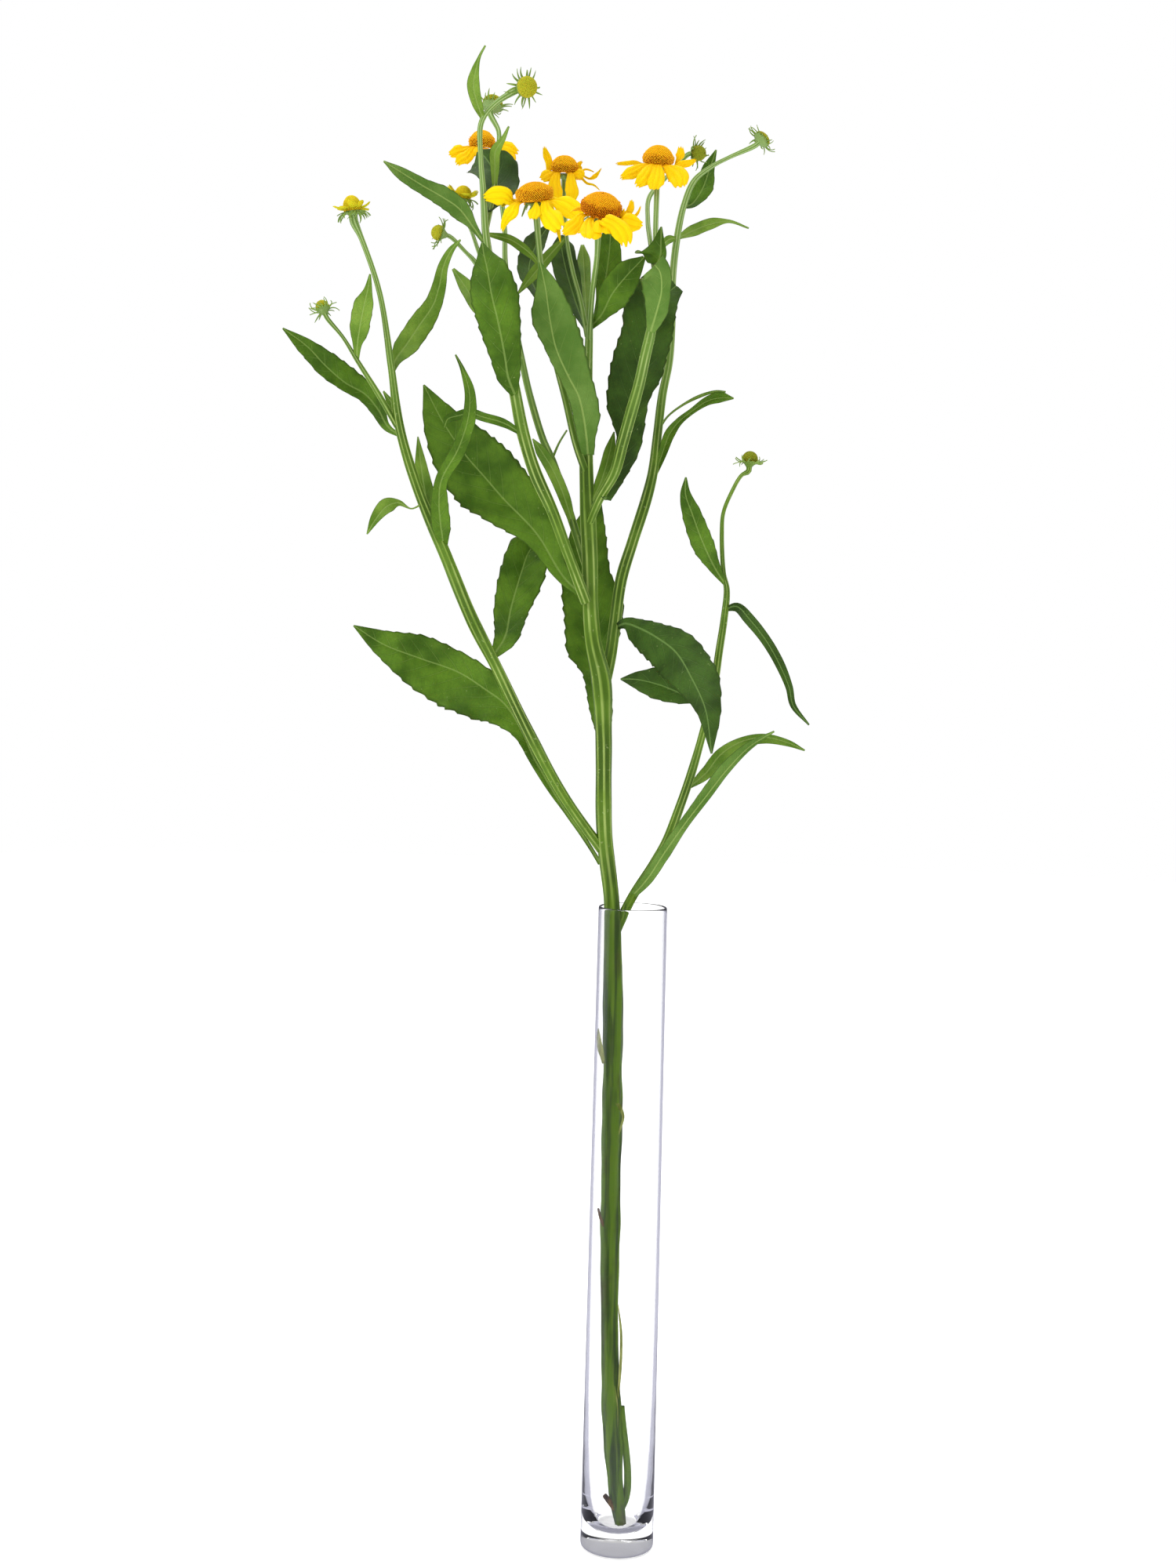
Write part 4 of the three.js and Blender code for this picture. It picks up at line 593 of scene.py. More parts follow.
# The stems. Each stalk's rows hold x, z, depth and radius, and it may end under a head, with its
# radius there. The rows of the small leaves are like those of the large leaves.
SHOOTS = {
    "main_stem": {
        "stalks": [
            [
                (2, 10.4, -4, 2.9), (-1, 30, -3, 3.8), (-6, 99, 0, 4.4), (-8, 176, 1, 4.8),
                (-9, 260, 1, 4.9), (-10.2, 320, 0, 4.8), (-11.6, 352, 0, 4.3), (-16.5, 389, 2, 4.2),
                (-18.5, 443, 3, 4.4), (-20.5, 473, 4, 5.2), (-26, 497, 4, 4.3), (-29, 546, 4, 4.2),
                (-32, 599, 3, 3.6), (-32, 640, 2, 2.4), (-32, 668, 0, 2),
            ],
            [(0, 14, -3.5, 1.6), (5, 30, -3, 2), (1, 76, -1.5, 1.6)],
            [(0, 18, -4, 1.8), (-7, 27, -5, 1.2)],
            [(-9, 171, 0, 1.2), (-13, 178, -1.5, 0.8), (-14.6, 184, -2.2, 0.6)],
            [
                (-32, 588, 2.5, 2.2), (-38, 604, -2.5, 2), (-44, 627, -6, 1.9), (-50, 648, -7, 1.8),
                (-55, 674, -9, 1.7), (-59, 697, -12, 1.6), ("bloom_left_front", 1.8),
            ],
            [
                (-33, 662, 2, 1.5), (-37, 681, 5, 1.3), (-42, 698, 8, 1.2), (-46, 717, 9, 1.2),
                ("bloom_center", 1.5),
            ],
            [
                (-32, 660, 0.5, 1.6), (-31, 685, -12, 1.4), (-29, 705, -22, 1.4),
                ("bloom_right_front", 1.8),
            ],
        ],
        "leaves": [
            [(-28, 571.5, 2, 1.3), (-23, 584, 4, 3.5), (-19.5, 597, 5, 3.5), (-17, 610, 7, 0.4)],
            [(-32.5, 662, 1, 1), (-34.5, 682, 13, 3), (-36, 702, 24, 4), (-37, 712, 28, 1)],
            [(-46, 716, 9, 1), (-54, 707, 6, 3), (-62, 697, 3, 3.5), (-72, 684, -1, 0.5)],
        ],
    },
    "shoot_left": {
        "stalks": [
            [
                (-18, 381, 2, 2.9), (-26, 391, 1.5, 2.7), (-40.5, 411, 0, 2.7), (-58, 441, -3, 3),
                (-78, 479, -8, 3), (-92.5, 506, -11, 3.4), (-109, 543, -16, 3.3), (-123, 574, -19, 2.6),
                (-134.5, 609, -22, 2.5), (-140, 642, -25, 1.8), (-147.5, 683, -28, 1.4),
                (-158, 712, -30, 1.4), ("head_opening_left", 2.2),
            ],
            [
                (-136, 610, -22, 1.7), (-146.5, 627, -24, 1.5), (-158.5, 645, -27, 1.2),
                (-167, 658, -29, 1), ("bud_far_left", 1.2),
            ],
        ],
        "leaves": [
            [
                (-118, 565, -19, 1.5), (-119.5, 573, -15, 5), (-122, 586, -11, 3.8),
                (-124.5, 604.5, -7, 0.4),
            ],
            [
                (-121, 568, -19, 0.6), (-127, 565, -21, 0.4), (-134, 568, -24, 1.7),
                (-140.5, 566, -28, 4.1, 4.5), (-146, 559.5, -32, 2.5, 3.3), (-151, 550.5, -36, 0.4),
            ],
            [(-137, 612, -22, 1), (-138, 620, -19, 3, 2), (-144, 629, -16, 0.5)],
        ],
    },
    "shoot_center_left": {
        "stalks": [
            [
                (-30, 516, 0, 2.8), (-42, 546, -5, 2.9), (-50, 566, -9, 3.1), (-60, 587, -14, 3.3),
                (-67, 608, -18, 3.3), (-72, 630, -22, 3.2), (-80, 665, -20, 2.4), (-87, 699, -20, 2.1),
                (-90, 716, -21, 2), (-92, 739, -22, 1.6), (-94, 759, -23, 1.3), (-94, 778, -24, 1.4),
                (-87, 788, -25, 1.5), ("bud_top_front", 1.8),
            ],
            [
                (-90, 719, -21, 1.5), (-86, 742, -16, 1.4), (-84.5, 763.5, -12, 1.3),
                (-84.5, 773, -9, 1.3), ("bud_top_back", 1.6),
            ],
            [(-88, 688, -20, 1.2), (-96, 701.5, -19, 1.3), (-101, 706.5, -19, 1), ("bud_left", 1.1)],
            [(-89, 698, -20, 1.2), (-93, 705, -17, 1.1), (-98, 718, -12, 1), ("head_half_open", 1.3)],
        ],
        "leaves": [
            [
                (-86, 741, -16, 1), (-86, 753, -18, 2.5), (-86, 762, -20, 3), (-82, 769, -21, 1.5),
                (-79, 776, -22, 0.5),
            ],
            [
                (-82, 671, -20, 1.5), (-92.5, 674, -14, 2.5), (-99, 685, -6, 3.8, 4.7),
                (-107.5, 697, 2, 0.9),
            ],
        ],
    },
    "shoot_back_left": {
        "stalks": [
            [
                (-29, 532, 6, 2.4), (-41, 567, 14, 2.3), (-50, 592, 20, 2.2), (-56, 605, 24, 2.1),
                (-63, 626, 30, 2), (-67, 641, 34, 1.9), (-74, 673, 38, 1.7), (-79, 701, 38, 1.5),
                (-80, 721, 34, 1.4), (-84, 742, 28, 1.4), ("bloom_back_left", 1.6),
            ],
            [(-51, 593, 20, 0.8), (-47, 603, 12, 0.6), (-43, 610, 5, 0.5)],
        ],
        "leaves": [
            [
                (-37.5, 556, 12, 1.3), (-44, 575, 10, 3.5), (-50.5, 589, 13, 3.9, 3.5),
                (-56, 597.5, 17, 3.5, 3.1), (-61.5, 605, 21, 0.4),
            ],
        ],
    },
    "shoot_right": {
        "stalks": [
            [
                (-20, 466, 6, 3.4), (-16, 486, 9, 3.3), (-14, 503, 11, 3.1), (-11, 529, 14, 3.1),
                (-5.5, 549, 16, 3.1), (1.5, 573, 18, 3.1), (5, 589, 20, 2.7), (7, 610, 22, 2.5),
                (9, 631, 24, 2.4), (12, 648, 26, 2.2), (13, 667, 27, 2.1), (13, 697, 28, 2),
                (15, 719, 28, 1.9), (18, 735, 28, 1.7), (23.5, 749, 27, 1.5), (33, 757, 25, 1.2),
                (42, 762, 23, 1.1), ("bud_far_right", 1.5),
            ],
        ],
        "leaves": [
            [(14, 717, 27, 1), (10, 716, 24, 2.5), (5, 710, 19, 1)],
            [
                (8, 613, 22, 0.8), (12.5, 619.5, 23, 0.6), (20, 625.5, 22, 0.7), (29, 630.5, 19, 1),
                (38, 633.5, 15, 0.8), (43.5, 633.5, 12, 0.5),
            ],
        ],
    },
    "shoot_right_front": {
        "stalks": [
            [
                (-29.5, 559, 3, 2.2), (-24, 573, -3, 2.4), (-16, 588, -8, 2.8), (-12, 604, -13, 3),
                (-8, 620, -17, 3), (-4, 636, -21, 2.9), (-1, 652, -24, 2.8), (2, 667, -26, 2.6),
                (3, 684, -22, 1.9), (4, 705, -18, 1.6), (3, 718, -16, 1.4), (3, 743, -12, 1.4),
                ("bloom_right", 1.8),
            ],
            [
                (3.5, 696, -19.5, 1.4), (0, 716, -12, 1.3), (-1.5, 727, 0, 1.3), (-1, 739, 8, 1.3),
                (7.5, 749.5, 15, 1.1), ("bud_right", 1.3),
            ],
        ],
    },
    "shoot_far_right": {
        "stalks": [
            [
                (-10.5, 333, 1, 2.6), (-0.5, 355, 0, 2.6), (10.5, 373, -1, 2.6), (18, 387, -1, 2.6),
                (24, 404, -2, 2.4), (30, 423, -2, 2.3), (35, 442, -3, 2.1), (39, 459, -4, 2.1),
                (42, 476, -4, 2.1), (43.5, 489, -5, 2), (46, 509, -6, 1.9), (47, 525, -6, 1.6),
                (45, 534, -6, 1.3), (43.5, 556, -7, 1.1), (44, 567, -7, 1), (48, 578, -8, 1),
                (53.5, 588, -8, 1), ("bud_low_right", 1.5),
            ],
        ],
    },
}

# The large leaves. Each row holds the midrib's x, z and depth, then the blade's reach to its left and
# right, or one reach for both.
LEAVES = {
    "lower_left": [
        (-18.6, 373, 2.5, 1.3), (-23, 380, 5, 1.2), (-29.5, 389.5, 5.5, 1.3), (-37, 399.5, 5, 1.3),
        (-44.5, 410.5, 3.5, 2.2, 1.7), (-51, 421, 2, 3, 2.2), (-57.5, 432, 1.5, 3.4, 2.6),
        (-62.5, 443, 2, 5.2, 3), (-73, 459, 4, 15.1, 7.4), (-84, 467, 6, 19.1, 10.8),
        (-99, 476, 8, 22.2, 11.3), (-120, 483, 6, 17.3, 13.4), (-140, 490, 0, 7.7, 9),
        (-157, 500, -8, 0.5),
    ],
    "left_inner": [
        (-81, 484, -8, 1.5), (-74, 496, -2, 6.4, 7.7), (-71, 512, 6, 10, 10.8), (-66, 531, 12, 12.2, 14),
        (-62, 543, 16, 12.3, 11.9), (-55, 552, 20, 1.5),
    ],
    "great_left": [
        (-30, 518, 1, 1.5), (-43, 530, 5, 4, 4.5), (-58, 553, 6, 8.7, 12.1), (-77, 572, 4, 16.4, 19.9),
        (-87, 583, 2, 21.1, 20.3), (-98, 595, -2, 19.3, 18.4), (-111, 613, -8, 12, 10.5),
        (-122, 633, -14, 0.5),
    ],
    "twisted_left": [
        (-109, 546, -17, 2.5), (-111, 558, -25, 5, 5.5), (-112, 569, -28, 4.5, 5), (-111, 581, -31, 3.5),
        (-102, 599, -35, 4, 4.5), (-97, 617, -39, 3.5, 4), (-97, 630, -42, 3), (-101, 642, -45, 1.5),
        (-105, 650, -48, 0.5),
    ],
    "far_left": [
        (-135, 605, -21, 1), (-141.5, 610, -18, 2.9, 1.7), (-146.5, 618.5, -15, 4.2),
        (-154, 627, -14, 4.6, 6.3), (-165, 633, -17, 4.6, 9.2), (-176, 642, -24, 5.8, 8.3),
        (-186, 652, -30, 5.4, 4.5), (-200, 662, -40, 0.5),
    ],
    "far_left_upright": [
        (-159, 645, -27, 1), (-159, 654, -29, 2.5), (-158, 663, -32, 5.3), (-156, 675, -35, 5.7, 5.3),
        (-154, 685, -37, 2, 2.5), (-153, 693, -39, 0.5),
    ],
    "left_upright": [
        (-140, 638, -25, 1), (-138, 646, -22, 2.9, 3.7), (-132, 655, -18, 6.3, 7.1),
        (-125, 666, -15, 6.3, 7.2), (-118, 677, -14, 5), (-115, 687, -17, 4), (-113, 698, -22, 3),
        (-109, 707, -28, 2), (-104, 713, -34, 0.5),
    ],
    "front_left": [
        (-72, 629, -24, 2), (-76, 639, -30, 6.2, 7), (-78, 650, -33, 8.2, 9), (-82.5, 670, -36, 11, 12.6),
        (-86, 683, -36, 11.5, 14.5), (-89, 698, -34, 8.5, 11), (-91, 706, -32, 3.5, 5),
        (-92, 712, -30, 0.5),
    ],
    "top": [
        (-93, 779, -24, 1), (-97, 789, -28, 3), (-99, 798, -30, 3.5), (-98, 806, -31, 2.5, 2),
        (-96, 814, -32, 0.8), (-93, 820, -33, 0.5),
    ],
    "behind_back_bloom": [
        (-91, 729, -20, 0.8, 3.3), (-87, 742, -11, 4.7, 14.4), (-87, 751, -5, 14.5, 14.1),
        (-91, 758, 0, 9, 7.5), (-95, 762, 4, 1.5),
    ],
    "upper_left": [
        (-91, 712, -21, 1), (-97, 720, -22, 2, 2.5), (-105, 730, -25, 5.8, 5.4), (-114, 736, -29, 5.5, 6),
        (-125, 742, -34, 4.9, 4.1), (-137, 749, -40, 4.1, 2.8), (-147, 755, -48, 0.5),
    ],
    "under_bloom_left": [
        (-59, 699, -12, 1), (-64, 705, -13, 2, 1.5), (-70, 710, -13, 3, 2.5), (-77, 714, -13, 2.5),
        (-86, 716, -13, 1.5), (-92, 717, -13, 0.5),
    ],
    "front_center": [
        (-31, 597, 0, 3.5), (-32, 606, -7, 5), (-34, 618, -10, 5.9, 9.3), (-37, 629, -13, 5.9, 10.1),
        (-43, 640, -15, 5, 13), (-50, 655, -18, 5.9, 15.5), (-54, 672, -20, 10, 13.4),
        (-56.5, 687, -22, 5.8, 8.3), (-60, 702, -24, 0.5),
    ],
    "dark_right": [
        (-21, 573, -5, 2.6, 3.4), (-15, 587.5, 1, 4.3, 6), (-10, 604, 2, 6, 8.5), (-7, 626, 2, 15.5, 8.6),
        (-4, 645, 2, 16.4, 13.8), (0, 662, 3, 15.5, 13.8), (4, 675, 4, 19, 11.7), (9, 685, 6, 17.3, 8.7),
        (15, 691, 9, 6.1, 5.2),
    ],
    "under_right_bloom": [
        (4, 702, -18, 5, 2.5), (6, 708, -24, 14.1, 3.3), (6, 715, -27, 5, 2), (6, 723, -30, 0.5),
    ],
    "front_right": [
        (1, 663, -26, 1.5), (5, 678, -35, 7, 6), (7, 688, -39, 10.5, 5), (6, 698, -42, 11, 6),
        (3, 702, -44, 8.5, 7.5),
    ],
    "upper_right": [
        (18, 734, 28, 1), (23, 736.5, 32, 3.6, 3.1), (28.5, 745.5, 35, 5.4, 5.9),
        (31.5, 755, 37, 4.5, 3.2), (35, 766, 38, 0.5),
    ],
    "right_small": [
        (15, 717, 28, 1), (24, 721.5, 34, 3.6), (32.5, 725, 37, 3.6, 3.2), (43, 727, 38, 1.1),
        (54, 723.5, 38, 0.5),
    ],
    "fork_right": [
        (-31, 667, -1, 1.5), (-25, 675, -9, 3.4, 4.2), (-20, 685.5, -15, 7.6, 10.1),
        (-12.5, 695.5, -21, 8.3, 9.2), (-3, 706, -27, 1.2),
    ],
    "right_folded": [
        (5.5, 585, 20, 0.9), (10, 599.5, 20, 2.7), (13.5, 609.5, 19, 3.1), (18.5, 616.5, 18, 2.2),
        (25, 622, 17, 1.8), (33.5, 628, 15, 2.6), (40.5, 630, 12, 3.5, 3.1), (48, 630, 8, 0.5),
    ],
    "low_right": [
        (-2, 354, 0, 1.5), (8, 366, -6, 3.2), (16, 379, -8, 3.5), (28, 397, -9, 3.4, 2.5),
        (39, 412, -10, 4.2, 2.5), (49, 425.5, -12, 4.6, 2.1), (61.5, 439, -14, 2.9, 1.7),
        (75, 448, -16, 0.5),
    ],
    "low_right_back": [
        (29, 416, -2, 1), (38, 424, 3, 3.5), (46, 434.5, 8, 3.5, 4.3), (57.5, 442, 12, 2.6, 3.9),
        (70, 444.5, 15, 2.2, 3.5), (82.5, 442, 17, 1.8, 2.2), (92, 438, 18, 0.5),
    ],
    "front_low": [
        (-13, 503, 11, 1.5), (-8, 505, 2, 3.5), (-1, 503, -6, 5.5, 9.5), (9, 498, -14, 9, 13),
        (20, 490, -21, 13, 15), (29, 476, -29, 14.4, 10.7), (37, 459, -37, 8.6, 5.3), (41, 435, -44, 0.5),
    ],
    "front_low_back": [
        (41, 464, -4, 1), (33, 464, -9, 2), (22, 468, -12, 6.5, 7.5), (11, 472, -13, 8.4, 9.7),
        (-1, 474.5, -13, 5.5, 4.6), (-10, 474.5, -12, 0.4),
    ],
    "far_right_upright": [
        (46, 528, -6, 1), (40, 537, -10, 3.4), (33, 551, -16, 6.7, 5.9), (27, 566, -21, 5.8, 5),
        (23, 577, -25, 3), (23, 586, -28, 0.5),
    ],
    "far_right_drooping": [
        (46, 514, -6, 1), (52.5, 516, -8, 2.1, 3), (60, 509, -12, 3, 3.4), (69, 498, -16, 2.9),
        (76, 486.5, -19, 2.9, 2.5), (82.5, 472.5, -21, 2.1), (85, 462.5, -22, 1.7), (94, 452, -22, 0.5),
    ],
    "behind_stem": [
        (-18.5, 441, 3, 3.5, 3), (-19.5, 457, 14, 7.5, 6), (-21, 477, 21, 10.5, 6),
        (-23, 492, 24, 18.7, 11.6), (-25, 513, 26, 18.7, 16.9), (-29, 530, 28, 16.1, 13.4),
        (-30.5, 548, 30, 11.7, 12.1), (-28, 573, 34, 1.8, 5.4),
    ],
    "behind_fork_left": [
        (-34, 666, 3, 1.2), (-40, 681, 13, 5, 4.5), (-45, 696, 19, 7.5), (-48, 708, 23, 7, 7.5),
        (-49, 717, 26, 1.5),
    ],
    "behind_fork_right": [
        (-30, 667, 1, 1.2), (-26.5, 681, 7, 2.6, 5.2), (-23.5, 696, 9, 6.1, 8.7), (-22, 711, 7, 6, 6.5),
        (-22, 723, 3, 3.5), (-23, 728, 0, 1),
    ],
    "behind_left_bloom": [
        (-55, 674, -8, 1), (-62, 687, 5, 3.5), (-66, 697, 12, 6.6, 5.7), (-63, 710, 19, 7.5, 5.3),
        (-56, 722, 25, 1.5),
    ],
    "narrow_left": [
        (-67, 607, -18, 1), (-75, 612, -21, 2.1), (-80, 614, -22, 2.5), (-88, 616, -22, 2.5),
        (-96, 618, -20, 2.5, 2.9), (-103, 616.5, -17, 2.5), (-108.5, 614.5, -14, 2.1),
        (-110, 610, -12, 0.5),
    ],
}

LEAF_LOOKS = {
    "twisted_left": {"tip_facing": (0.5, -0.8, 0.2)}, "left_upright": {"teeth": 0.06},
    "front_left": {"fold": -0.1}, "top": {"teeth": 0.04}, "under_bloom_left": {"teeth": 0.04},
    "under_right_bloom": {"teeth": 0.04}, "front_right": {"fold": -0.1}, "right_folded": {"fold": 0.5},
    "low_right": {"fold": 0.3}, "low_right_back": {"fold": 0.3}, "front_low": {"fold": -0.15},
    "far_right_drooping": {"fold": 0.4}, "behind_fork_left": {"teeth": 0.05},
    "behind_fork_right": {"teeth": 0.05}, "narrow_left": {"teeth": 0.04},
}

# Stems
STEM_STEP = 1.5
RIDGED_FROM = 2.4
# Where the bruised stem swells inside the vase: from and to, by height, and by how much
SWOLLEN = ((130, 330, 0.13), (5, 125, 0.24))


def add_stalk(shape, rows, swollen=()):
    """A ridged stalk. Its pale ridges run along it and drift slowly round it."""
    if rows[-1][0] in ALL_HEADS:
        name, radius = rows[-1]
        rows = [*rows[:-1], *under_head(Head(ALL_HEADS[name]), radius)]
    points, stations, numbers = route(rows, STEM_STEP)
    radius = numbers[:, 0]
    height = points[:, 2]
    lumps = 0.75 + 0.25 * np.sin(height / 8.7) + 0.2 * np.sin(height / 3.9 + 1)
    for low, high, amount in swollen:
        inside = smoothstep(height, low, low + 50) * smoothstep(-height, -high, 40 - high)
        radius = radius * (1 + amount * lumps * inside)
    sides, ridges, depth = (36, 7, 0.13) if radius.max() > RIDGED_FROM else (18, 5, 0.09)
    normals, binormals = directions_across(points)
    angle = 2 * math.pi * np.arange(sides) / sides
    drift = 0.35 * np.sin(stations / 90 + rng.uniform(0, 6.3)) + rng.uniform(0, 6.3)
    phase = ridges * (angle[None, :] + drift[:, None])
    crest = (0.5 + 0.5 * np.cos(phase)) ** 1.6
    fine = np.cos(3 * phase + 1.1)
    swell = 1 + 0.02 * np.sin(stations / 13 + rng.uniform(0, 6.3)) + 0.015 * np.sin(stations / 5.1)
    relief = 1 + depth * (crest - 0.45) + 0.012 * fine
    reach = (radius * swell)[:, None] * relief
    rings = points[:, None, :] + reach[..., None] * (
        np.cos(angle)[None, :, None] * normals[:, None, :]
        + np.sin(angle)[None, :, None] * binormals[:, None, :]
    )
    add_tube(shape, rings, ridge=np.clip(crest + 0.12 * fine, 0, 1))


# Leaves
LEAF_STEP = 1.3
HALF_COLUMNS = np.array([0, 0.05, 0.12, 0.22, 0.36, 0.5, 0.64, 0.78, 0.9, 1.0])
LEAF_COLUMNS = np.concatenate([-HALF_COLUMNS[:0:-1], HALF_COLUMNS])
BLADE = 0.42
TOOTH_PITCH = 7.5
TOOTH_RISE = 0.84
VEIN_PITCH = 10.5


def add_leaf(shape, rows, fold=0.18, wave=0.05, waves=1.6, teeth=0.1, tip_facing=FRONT):
    """A leaf blade with a grooved midrib, side veins that part gentle bulges, and a waved, toothed edge.
    It faces the front, or turns to tip_facing as it goes."""
    both = [row if len(row) == 5 else (*row, row[3]) for row in rows]
    points, stations, numbers = route(both, LEAF_STEP)
    u = stations / stations[-1]
    forward = unit(np.gradient(points, axis=0))
    toward = FRONT + (tip_facing - FRONT) * u[:, None]
    across = unit(np.cross(forward, toward))
    normal = np.cross(across, forward)
    s = LEAF_COLUMNS[None, :]
    size = np.abs(s)
    left_side = s < 0
    half = np.where(left_side, numbers[:, :1], numbers[:, 1:2])
    widest = numbers.max()
    # Teeth point to the tip: the margin swells slowly and steps back
    shift = np.where(left_side, rng.uniform(0, 1), rng.uniform(0, 1))
    wander = 0.35 * np.sin(stations / 17 + rng.uniform(0, 6.3))[:, None]
    saw = np.mod(stations[:, None] / TOOTH_PITCH + wander + shift, 1)
    tooth = np.where(saw < TOOTH_RISE, (saw / TOOTH_RISE) ** 1.5, (1 - saw) / (1 - TOOTH_RISE))
    amount = 10 * teeth * (0.12 + 0.055 * half) * smoothstep(half, 2.5, 6)
    amount = amount * smoothstep(1 - u, 0.03, 0.12)[:, None]
    reach = s * (half * 0.96 + (tooth - 0.35) * amount * size**6)
    # Folds and waves
    lift = (np.sqrt(reach**2 + 0.36) - 0.6) * fold
    swing = np.sin(2 * np.pi * waves * u[:, None] + np.where(left_side, 2.2, 0))
    lift += 2 * wave * half * size**2 * swing
    crimp = np.sin(stations[:, None] / 2.6 + rng.uniform(0, 6.3) + np.where(left_side, 1.7, 0))
    lift += 0.035 * np.minimum(half, 12) * size**4 * crimp
    # Side veins run up and out from the midrib, and the blade bulges between them
    vein = (stations[:, None] - np.abs(reach) * (1.15 + 0.5 * size)) / VEIN_PITCH
    vein = vein + np.where(left_side, 0.5, 0) + 0.12 * np.sin(stations[:, None] / 23)
    bulge = (0.5 - 0.5 * np.cos(2 * np.pi * vein)) ** 0.7
    envelope = smoothstep(size, 0.02, 0.2) * smoothstep(1 - size, 0, 0.3)
    lift += 0.03 * np.minimum(half, 12) * bulge * envelope
    groove = 0.22 * np.exp(-((reach / 0.6) ** 2)) * smoothstep(half, 0.5, 3)
    rib_size = (0.25 + 0.75 * (1 - u)[:, None]) * min(1.0, 0.35 + 0.05 * widest)
    rib = 0.9 * rib_size * np.exp(-((reach / (0.35 + 0.55 * rib_size)) ** 2))
    sheet = BLADE * (1 - 0.45 * size**4)
    middle = points[:, None, :] + across[:, None, :] * reach[..., None]
    top = middle + normal[:, None, :] * (lift + 0.5 * sheet - groove)[..., None]
    bottom = middle + normal[:, None, :] * (lift - 0.5 * sheet - rib)[..., None]
    flat = np.zeros(reach.shape)
    add_shell(
        shape, top, bottom, reach=(np.abs(reach),) * 2, edge=(size + flat,) * 2,
        vein=(vein,) * 2, under=(flat, flat + 1), rib=(rib_size + flat,) * 2,
    )


# Materials
class Graph:
    """The nodes of a material or of the world, with one short call for each kind. A colour is a socket,
    four numbers, or six hex digits."""

    def __init__(self, owner, place="Object"):
        owner.use_nodes = True
        self.owner = owner
        self.nodes = owner.node_tree.nodes
        self.shader = self.nodes.get("Principled BSDF")
        self.place = self.nodes.new("ShaderNodeTexCoord").outputs[place]

    def feed(self, value, socket):
        if isinstance(value, bpy.types.NodeSocket):
            self.owner.node_tree.links.new(value, socket)
        else:
            socket.default_value = linear(value) if isinstance(value, str) else value

    def along(self, axis):
        apart = self.nodes.new("ShaderNodeSeparateXYZ")
        self.feed(self.place, apart.inputs[0])
        return apart.outputs[axis]

    def light(self, kind):
        return self.nodes.new("ShaderNodeLightPath").outputs[kind]

    def number(self, name):
        node = self.nodes.new("ShaderNodeAttribute")
        node.attribute_name = name
        return node.outputs["Fac"]

    def math(self, operation, *values):
        node = self.nodes.new("ShaderNodeMath")
        node.operation = operation
        for value, socket in zip(values, node.inputs):
            self.feed(value, socket)
        return node.outputs[0]

    def remap(self, value, low, high, to_low=0.0, to_high=1.0, curve="SMOOTHSTEP"):
        node = self.nodes.new("ShaderNodeMapRange")
        node.interpolation_type = curve
        for entry, socket in zip((value, low, high, to_low, to_high), node.inputs):
            self.feed(entry, socket)
        return node.outputs[0]

    def mix(self, share, first, second):
        node = self.nodes.new("ShaderNodeMix")
        node.data_type = "RGBA"
        self.feed(share, node.inputs[0])
        self.feed(first, node.inputs[6])
        self.feed(second, node.inputs[7])
        return node.outputs[2]

    def noise(self, scale, detail, stretch=(1, 1, 1)):
        mapping = self.nodes.new("ShaderNodeMapping")
        mapping.inputs["Scale"].default_value = stretch
        self.feed(self.place, mapping.inputs["Vector"])
        node = self.nodes.new("ShaderNodeTexNoise")
        self.feed(mapping.outputs["Vector"], node.inputs["Vector"])
        node.inputs["Scale"].default_value = scale
        node.inputs["Detail"].default_value = detail
        return node.outputs["Fac"]

    def cells(self, scale):
        """How far a place lies from the edges of a net of cells."""
        node = self.nodes.new("ShaderNodeTexVoronoi")
        node.feature = "DISTANCE_TO_EDGE"
        self.feed(self.place, node.inputs["Vector"])
        node.inputs["Scale"].default_value = scale
        return node.outputs["Distance"]

    def bump(self, height, distance, strength):
        node = self.nodes.new("ShaderNodeBump")
        node.inputs["Strength"].default_value = strength
        node.inputs["Distance"].default_value = distance
        self.feed(height, node.inputs["Height"])
        self.feed(node.outputs["Normal"], self.shader.inputs["Normal"])

    def finish(self, colour, roughness, gloss, **constants):
        self.feed(colour, self.shader.inputs["Base Color"])
        self.feed(roughness, self.shader.inputs["Roughness"])
        self.shader.inputs["Specular IOR Level"].default_value = gloss
        for name, value in constants.items():
            self.shader.inputs[name.replace("_", " ")].default_value = value
        return self.owner


def material(name):
    return Graph(bpy.data.materials.new(name))


